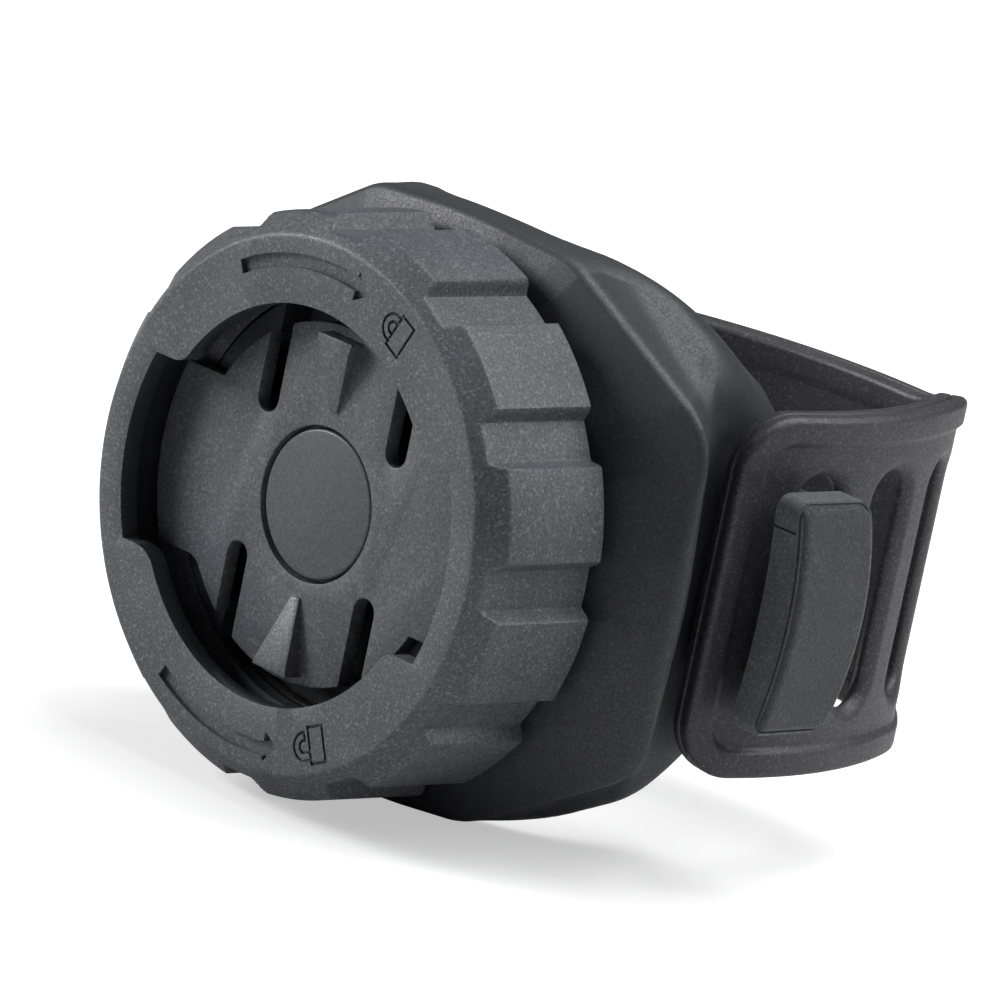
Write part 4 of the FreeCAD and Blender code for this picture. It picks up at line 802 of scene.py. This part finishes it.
strap_edge = arc((TAB_CORNER, TAB_HALF - TAB_CORNER), TAB_CORNER, pi, pi / 2, 10)
for step in range(9):
    share = step / 8
    strap_edge.append((TAB_END + (BAND_START - TAB_END) * share,
                       TAB_HALF + (BAND_HALF - TAB_HALF) * smooth_rise(share)))
strap_edge += arc(
    (EYE_START - BAND_CORNER, BAND_HALF - BAND_CORNER), BAND_CORNER, pi / 2, 0, 8)
strap_edge += [(u, -z) for u, z in strap_edge[::-1]]
strap = prism("slotted_strap", strap_edge, FACE_TO_BAR, FACE_TO_BAR - START_THICKNESS)
select_faces(strap, lambda middle, normal: normal.y < -0.9)
rise = START_THICKNESS + EDGE_ROUND - STRAP_HALF_THICKNESS
bpy.ops.mesh.extrude_region_move(TRANSFORM_OT_translate={"value": (0, rise, 0)})
round_over(EDGE_ROUND, -1)
step_in(BORDER_WIDTH, 0)
for share in (0.1, 0.4, 0.4, 0.1):
    step_in(BORDER_SLOPE / 4, PANEL_DEPTH * share)
select_faces(strap, lambda middle, normal: abs(middle.y) < 0.000001 and abs(normal.y) > 0.9)
bpy.ops.mesh.delete(type="ONLY_FACE")
select_rim()
bpy.ops.transform.shrink_fatten(value=-PARTING_GROOVE)
bpy.ops.object.mode_set(mode="OBJECT")
for point in strap.data.vertices:
    if abs(point.co.y) < 0.00005:
        point.co.y = 0
add_other_half(strap)

slot_ends = SLOT_HALF - SLOT_RADIUS
slot_shape = arc((0, slot_ends), SLOT_RADIUS + SLOT_FLARE, 0, pi, 16)
slot_shape += arc((0, -slot_ends), SLOT_RADIUS + SLOT_FLARE, pi, 2 * pi, 16)
panel = FACE_TO_BAR - STRAP_HALF_THICKNESS + PANEL_DEPTH
for place in SLOT_PLACES:
    outline = [(place + u, z) for u, z in slot_shape]
    slot = prism("slot", outline, FACE_TO_BAR - SLOT_CUT, panel - 0.00003)
    select_faces(slot, lambda middle, normal: normal.y > 0.9)
    for width, shift in FLARE_STEPS:
        step_in(SLOT_FLARE * width, SLOT_FLARE_DEPTH * shift)
    bpy.ops.mesh.delete(type="ONLY_FACE")
    select_rim()
    bpy.ops.mesh.extrude_edges_move(TRANSFORM_OT_translate={"value": (0, 0.0001, 0)})
    bpy.ops.object.mode_set(mode="OBJECT")
    inner_edge = max(point.co.y for point in slot.data.vertices)
    for point in slot.data.vertices:
        if point.co.y > inner_edge - 0.00001:
            point.co.y = 0
    add_other_half(slot)
    turn_outwards()
    combine(strap, slot)
tongue = [(EYE_START - TONGUE_OVERLAP, -EYE_HALF), (STRAP_LENGTH, -EYE_HALF),
          (STRAP_LENGTH, EYE_HALF), (EYE_START - TONGUE_OVERLAP, EYE_HALF)]
tongue_block = prism("tongue", tongue, FACE_TO_BAR - TONGUE_HALF_THICKNESS,
                     FACE_TO_BAR + TONGUE_HALF_THICKNESS)
combine(strap, tongue_block, "UNION")

bpy.ops.object.mode_set(mode="EDIT")
for step in range(1, STRAP_SLICES):
    along = STRAP_LENGTH * step / STRAP_SLICES
    bpy.ops.mesh.select_all(action="SELECT")
    bpy.ops.mesh.bisect(plane_co=(along, 0, 0), plane_no=(1, 0, 0))
bpy.ops.object.mode_set(mode="OBJECT")

path_data = bpy.data.curves.new("strap_path", "CURVE")
path_data.dimensions = "2D"
path_data.resolution_u = 40
line = path_data.splines.new("BEZIER")
line.bezier_points.add(len(STRAP_BENDS) + 1)
here, heading = STRAP_START.copy(), STRAP_HEADING
reach_back = 0.0
for point, (radius, angle) in zip(line.bezier_points, STRAP_BENDS + ((0.0, 0.0),)):
    ahead = Vector((cos(heading), sin(heading), 0))
    reach_on = 4 / 3 * tan(radians(angle) / 4) * radius
    point.co = here
    point.handle_left = here - ahead * reach_back
    point.handle_right = here + ahead * reach_on
    centre = here + Vector((-sin(heading), cos(heading), 0)) * radius
    heading += radians(angle)
    here = centre + Vector((sin(heading), -cos(heading), 0)) * radius
    reach_back = reach_on
last, at_pin = line.bezier_points[-2:]
ahead = (PIN_PLACE - last.co).normalized()
last.handle_right = last.co + ahead * LAST_HANDLE
at_pin.co = PIN_PLACE
at_pin.handle_left = PIN_PLACE - ahead * LAST_HANDLE
at_pin.handle_right = PIN_PLACE + ahead * LAST_HANDLE
path = bpy.data.objects.new("strap_path", path_data)
bpy.context.scene.collection.objects.link(path)
only(strap)
bend = strap.modifiers.new("round the bar", "CURVE")
bend.object = path
bend.deform_axis = "POS_X"
bpy.ops.object.modifier_apply(modifier=bend.name)
bpy.data.objects.remove(path)

eye = rod(EYE_TUBE, 2 * EYE_HALF - 0.0003, PIN_PLACE, sides=64)
combine(eye, rod(PIN_BORE, 4 * EYE_HALF, PIN_PLACE, sides=64))
only(eye, strap)
bpy.ops.object.join()
smooth_shade(strap, 40)

# Silicone from a satin mould looks a soft charcoal, duller and finer than the nylon.
strap_silicone = eroded_plastic(
    "silicone_satin_mould", "202022", "3b3b40", 0.50, grain=0.0002, depth=0.00003, painted_glints=0.09)
finish_with(strap, strap_silicone)
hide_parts("strap")
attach(strap, "mount")


# Pad: the rubber lining of the saddle is an extruded strip of soft rubber, cut to
# the rim's slope and pressed in. Its grooves grip the bar.

PAD_OUTER = 0.0174
PAD_INNER = 0.01595
PAD_HALF_ANGLE = radians(80)
PAD_GROOVE = 0.0004
PAD_GROOVES_A_SIDE = 4
PAD_PITCH = radians(16)
PAD_EDGE = 0.00012
# Where the pad's end begins to slope, and a point further down that slope
PAD_BEND = Vector((0, -0.0142, 0.0238))
PAD_END = Vector((0, -0.0014, 0.0151))

groove_half = PAD_GROOVE / PAD_INNER
pad_outline = arc(
    (0, 0), PAD_OUTER, -pi / 2 - PAD_HALF_ANGLE, -pi / 2 + PAD_HALF_ANGLE, 48)
at_turn = PAD_HALF_ANGLE
for step in range(PAD_GROOVES_A_SIDE, -PAD_GROOVES_A_SIDE - 1, -1):
    groove_turn = step * PAD_PITCH
    pad_outline += arc(
        (0, 0), PAD_INNER, at_turn - pi / 2, groove_turn + groove_half - pi / 2, 4)
    centre = (PAD_INNER * sin(groove_turn), -PAD_INNER * cos(groove_turn))
    pad_outline += arc(centre, PAD_GROOVE, groove_turn, groove_turn - pi, 8)[1:-1]
    at_turn = groove_turn - groove_half
pad_outline += arc((0, 0), PAD_INNER, at_turn - pi / 2, -PAD_HALF_ANGLE - pi / 2, 4)
only()
bpy.ops.mesh.primitive_circle_add(vertices=len(pad_outline), radius=0.001, fill_type="NGON")
pad = bpy.context.object
pad.name = "rubber_pad"
for corner, (x, y) in zip(pad.data.vertices, pad_outline):
    corner.co = (x, y, -PAD_BEND.z)
bpy.ops.object.mode_set(mode="EDIT")
bpy.ops.mesh.select_all(action="SELECT")
bpy.ops.mesh.extrude_region_move(TRANSFORM_OT_translate={"value": (0, 0, 2 * PAD_BEND.z)})
slope = (PAD_END - PAD_BEND).normalized()
for side in (1, -1):
    bpy.ops.mesh.select_all(action="SELECT")
    bpy.ops.mesh.bisect(
        plane_co=(0, PAD_BEND.y, side * PAD_BEND.z), plane_no=(0, -slope.z, side * slope.y),
        use_fill=True, clear_outer=True, threshold=0.0000001)
turn_outwards(merge=0.000002)
round_edges(pad, PAD_EDGE, sharp=50)
smooth_shade(pad)


def cured_rubber(name, dark, light, roughness):
    """Black rubber with a dull bloom and the faint lines of its die.

    The real lines are about 0.1 mm apart. They are drawn at 0.4 mm, so that they
    show. The bloom's clouds are 3 mm across.
    """
    material, tree = start_material(name)
    place = add_node(tree, "ShaderNodeTexCoord")
    bloom = add_node(tree, "ShaderNodeTexNoise", {
        "Vector": place.outputs["Object"], "Scale": 1 / 0.003, "Detail": 5.0,
        "Roughness": 0.65})
    colour = add_node(tree, "ShaderNodeValToRGB", {"Fac": bloom.outputs["Fac"]})
    colour.color_ramp.elements[0].position = 0.35
    colour.color_ramp.elements[0].color = linear(dark)
    colour.color_ramp.elements[1].position = 0.72
    colour.color_ramp.elements[1].color = linear(light)
    stretched = add_node(tree, "ShaderNodeMapping", {
        "Vector": place.outputs["Object"], "Scale": (1.0, 1.0, 0.04)})
    drawn = add_node(tree, "ShaderNodeTexNoise", {
        "Vector": stretched.outputs["Vector"], "Scale": 1 / 0.0004, "Detail": 2.0})
    dull = add_node(tree, "ShaderNodeMapRange", {
        "Value": bloom.outputs["Fac"], "To Min": roughness - 0.08, "To Max": roughness + 0.1})
    bump = add_node(tree, "ShaderNodeBump", {
        "Height": drawn.outputs["Fac"], "Strength": 0.8, "Distance": 0.00002})
    shader = add_node(tree, "ShaderNodeBsdfPrincipled", {
        "Base Color": colour.outputs["Color"], "Roughness": dull.outputs["Result"],
        "Normal": bump.outputs["Normal"]})
    add_node(tree, "ShaderNodeOutputMaterial", {"Surface": shader.outputs["BSDF"]})
    return material


# Extruded soft rubber looks dull black, with a greyish bloom.
pad_rubber = cured_rubber("extruded_pad_rubber", "131313", "232323", 0.74)
finish_with(pad, pad_rubber)
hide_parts("saddle_pad")
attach(pad, "mount")


# Collar seal: the ring between hub and collar is moulded in soft rubber, greased,
# and stretched into its groove.

SEAL_EDGE = 0.00008

# Greased rubber is blacker than the pad, with a wet shine.
seal_rubber = cured_rubber("moulded_seal_rubber", "0f0f10", "1b1b1c", 0.42)
seal = moulding_of("collar_seal", "rubber_seal", SEAL_EDGE)
finish_with(seal, seal_rubber)
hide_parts("collar_seal")
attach(seal, "mount")


# Metal parts: inside the hub sit turned and stamped parts, which are steel screws,
# a washer, springs and the strap's pin, and the knurled brass insert. The housing
# hides most of them.


def worked_metal(name, dark, light, roughness, stretch):
    """Bare metal with the fine marks of the tool that made it, along one axis.

    The real marks are about 0.05 mm apart. They are drawn at 0.25 mm, so that they
    show. The tarnish lies in patches of 2 mm.
    """
    material, tree = start_material(name)
    place = add_node(tree, "ShaderNodeTexCoord")
    stretched = add_node(tree, "ShaderNodeMapping", {
        "Vector": place.outputs["Object"], "Scale": stretch})
    marks = add_node(tree, "ShaderNodeTexNoise", {
        "Vector": stretched.outputs["Vector"], "Scale": 1 / 0.00025, "Detail": 3.0})
    tarnish = add_node(tree, "ShaderNodeTexNoise", {
        "Vector": place.outputs["Object"], "Scale": 1 / 0.002, "Detail": 4.0})
    colour = add_node(tree, "ShaderNodeValToRGB", {"Fac": tarnish.outputs["Fac"]})
    colour.color_ramp.elements[0].position = 0.3
    colour.color_ramp.elements[0].color = linear(dark)
    colour.color_ramp.elements[1].position = 0.7
    colour.color_ramp.elements[1].color = linear(light)
    polish = add_node(tree, "ShaderNodeMapRange", {
        "Value": marks.outputs["Fac"], "To Min": roughness - 0.1, "To Max": roughness + 0.12})
    bump = add_node(tree, "ShaderNodeBump", {
        "Height": marks.outputs["Fac"], "Strength": 0.7, "Distance": 0.00001})
    shader = add_node(tree, "ShaderNodeBsdfPrincipled", {
        "Base Color": colour.outputs["Color"], "Metallic": 1.0,
        "Roughness": polish.outputs["Result"], "Normal": bump.outputs["Normal"]})
    add_node(tree, "ShaderNodeOutputMaterial", {"Surface": shader.outputs["BSDF"]})
    return material


# Zinc plating looks pale and slightly blue, with soft reflections.
zinc_steel = worked_metal(
    "zinc_plated_screw_steel", "8d9093", "b4b6b8", 0.36, (1.0, 0.15, 1.0))
# Hardened spring strip looks darker, with a warm straw tint.
spring_steel = worked_metal(
    "tempered_spring_steel", "6f6c66", "96938c", 0.3, (0.15, 1.0, 1.0))
# A ground pin looks bright, with fine lines along it.
pin_steel = worked_metal("ground_pin_steel", "9fa1a3", "c2c3c4", 0.25, (1.0, 1.0, 0.1))
# Turned brass looks yellow, with rings from the lathe.
insert_brass = worked_metal(
    "turned_insert_brass", "9a7a3c", "c2a05c", 0.34, (1.0, 0.15, 1.0))
METAL_PARTS = {
    "centre_screw": zinc_steel, "centre_washer": zinc_steel, "plate_screw_1": zinc_steel,
    "plate_screw_2": zinc_steel, "plate_screw_3": zinc_steel, "plate_screw_4": zinc_steel,
    "wave_spring": spring_steel, "click_spring_left": spring_steel,
    "click_spring_right": spring_steel, "strap_pin": pin_steel, "centre_insert": insert_brass,
}
for node, metal in METAL_PARTS.items():
    finish_with(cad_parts[node], metal)


# Glide ring: the slippery ring that the collar's rib runs on is turned from black
# acetal, and the wave spring pushes it forward.

# Turned acetal looks waxy and black, with no glints.
glide_plastic = eroded_plastic(
    "turned_black_acetal", "101011", "1c1c1d", 0.38, grain=0.0004, painted_glints=0.0)
finish_with(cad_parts["glide_ring"], glide_plastic)


# Stage: a floor of white backlit paper just below the mount. One soft box lights the
# face from the left and one lights the hook's side from the right rear, so that the
# bevel turned to the camera stays darkest.

FLOOR_SIZE = 6.0
FLOOR_GAP = 0.0002
BACKLIGHT = 0.48
WALLS_SEEN = 1.0
WALLS_LIGHT = 0.10

low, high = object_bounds()
only()
bpy.ops.mesh.primitive_plane_add(size=FLOOR_SIZE, location=(0, 0, low.z - FLOOR_GAP))
floor = bpy.context.object
floor.name = "floor"
# Backlit paper looks white, with a hardly visible cloud of fibres, 1.2 mm across.
paper, tree = start_material("paper_floor")
place = add_node(tree, "ShaderNodeTexCoord")
fibres = add_node(tree, "ShaderNodeTexNoise", {
    "Vector": place.outputs["Object"], "Scale": 1 / 0.0012, "Detail": 3.0})
tone = add_node(tree, "ShaderNodeMapRange", {
    "Value": fibres.outputs["Fac"], "From Min": 0.3, "From Max": 0.7,
    "To Min": 0.60, "To Max": 0.63})
seen = add_node(tree, "ShaderNodeLightPath")
backlight = add_node(tree, "ShaderNodeMath", {
    0: seen.outputs["Is Camera Ray"], 1: BACKLIGHT}, operation="MULTIPLY")
shader = add_node(tree, "ShaderNodeBsdfPrincipled", {
    "Base Color": tone.outputs["Result"], "Roughness": 0.85,
    "Emission Color": (1, 1, 1, 1), "Emission Strength": backlight.outputs[0]})
add_node(tree, "ShaderNodeOutputMaterial", {"Surface": shader.outputs["BSDF"]})
finish_with(floor, paper)

world = bpy.data.worlds.new("studio")
bpy.context.scene.world = world
world.use_nodes = True
sky = world.node_tree
sky.nodes.clear()
seen = add_node(sky, "ShaderNodeLightPath")
walls = add_node(sky, "ShaderNodeMapRange", {
    "Value": seen.outputs["Is Camera Ray"], "To Min": WALLS_LIGHT, "To Max": WALLS_SEEN})
glow = add_node(sky, "ShaderNodeBackground", {
    "Color": (1, 1, 1, 1), "Strength": walls.outputs["Result"]})
add_node(sky, "ShaderNodeOutputWorld", {"Surface": glow.outputs["Background"]})
bpy.context.scene.view_settings.view_transform = "Standard"


def softbox(name, azimuth, elevation, distance, size, power):
    """A square light that faces the mount from that direction."""
    where = direction(radians(azimuth), radians(elevation)) * distance
    data = bpy.data.lights.new(name, "AREA")
    data.shape = "SQUARE"
    data.size = size
    data.energy = power
    light = bpy.data.objects.new(name, data)
    light.location = where
    light.rotation_euler = where.to_track_quat("Z", "Y").to_euler()
    bpy.context.scene.collection.objects.link(light)


softbox("top", azimuth=150, elevation=74, distance=0.95, size=0.7, power=10.0)
softbox("left", azimuth=-52, elevation=24, distance=1.1, size=0.5, power=13.0)
softbox("right_rear", azimuth=128, elevation=34, distance=1.1, size=0.5, power=6.0)
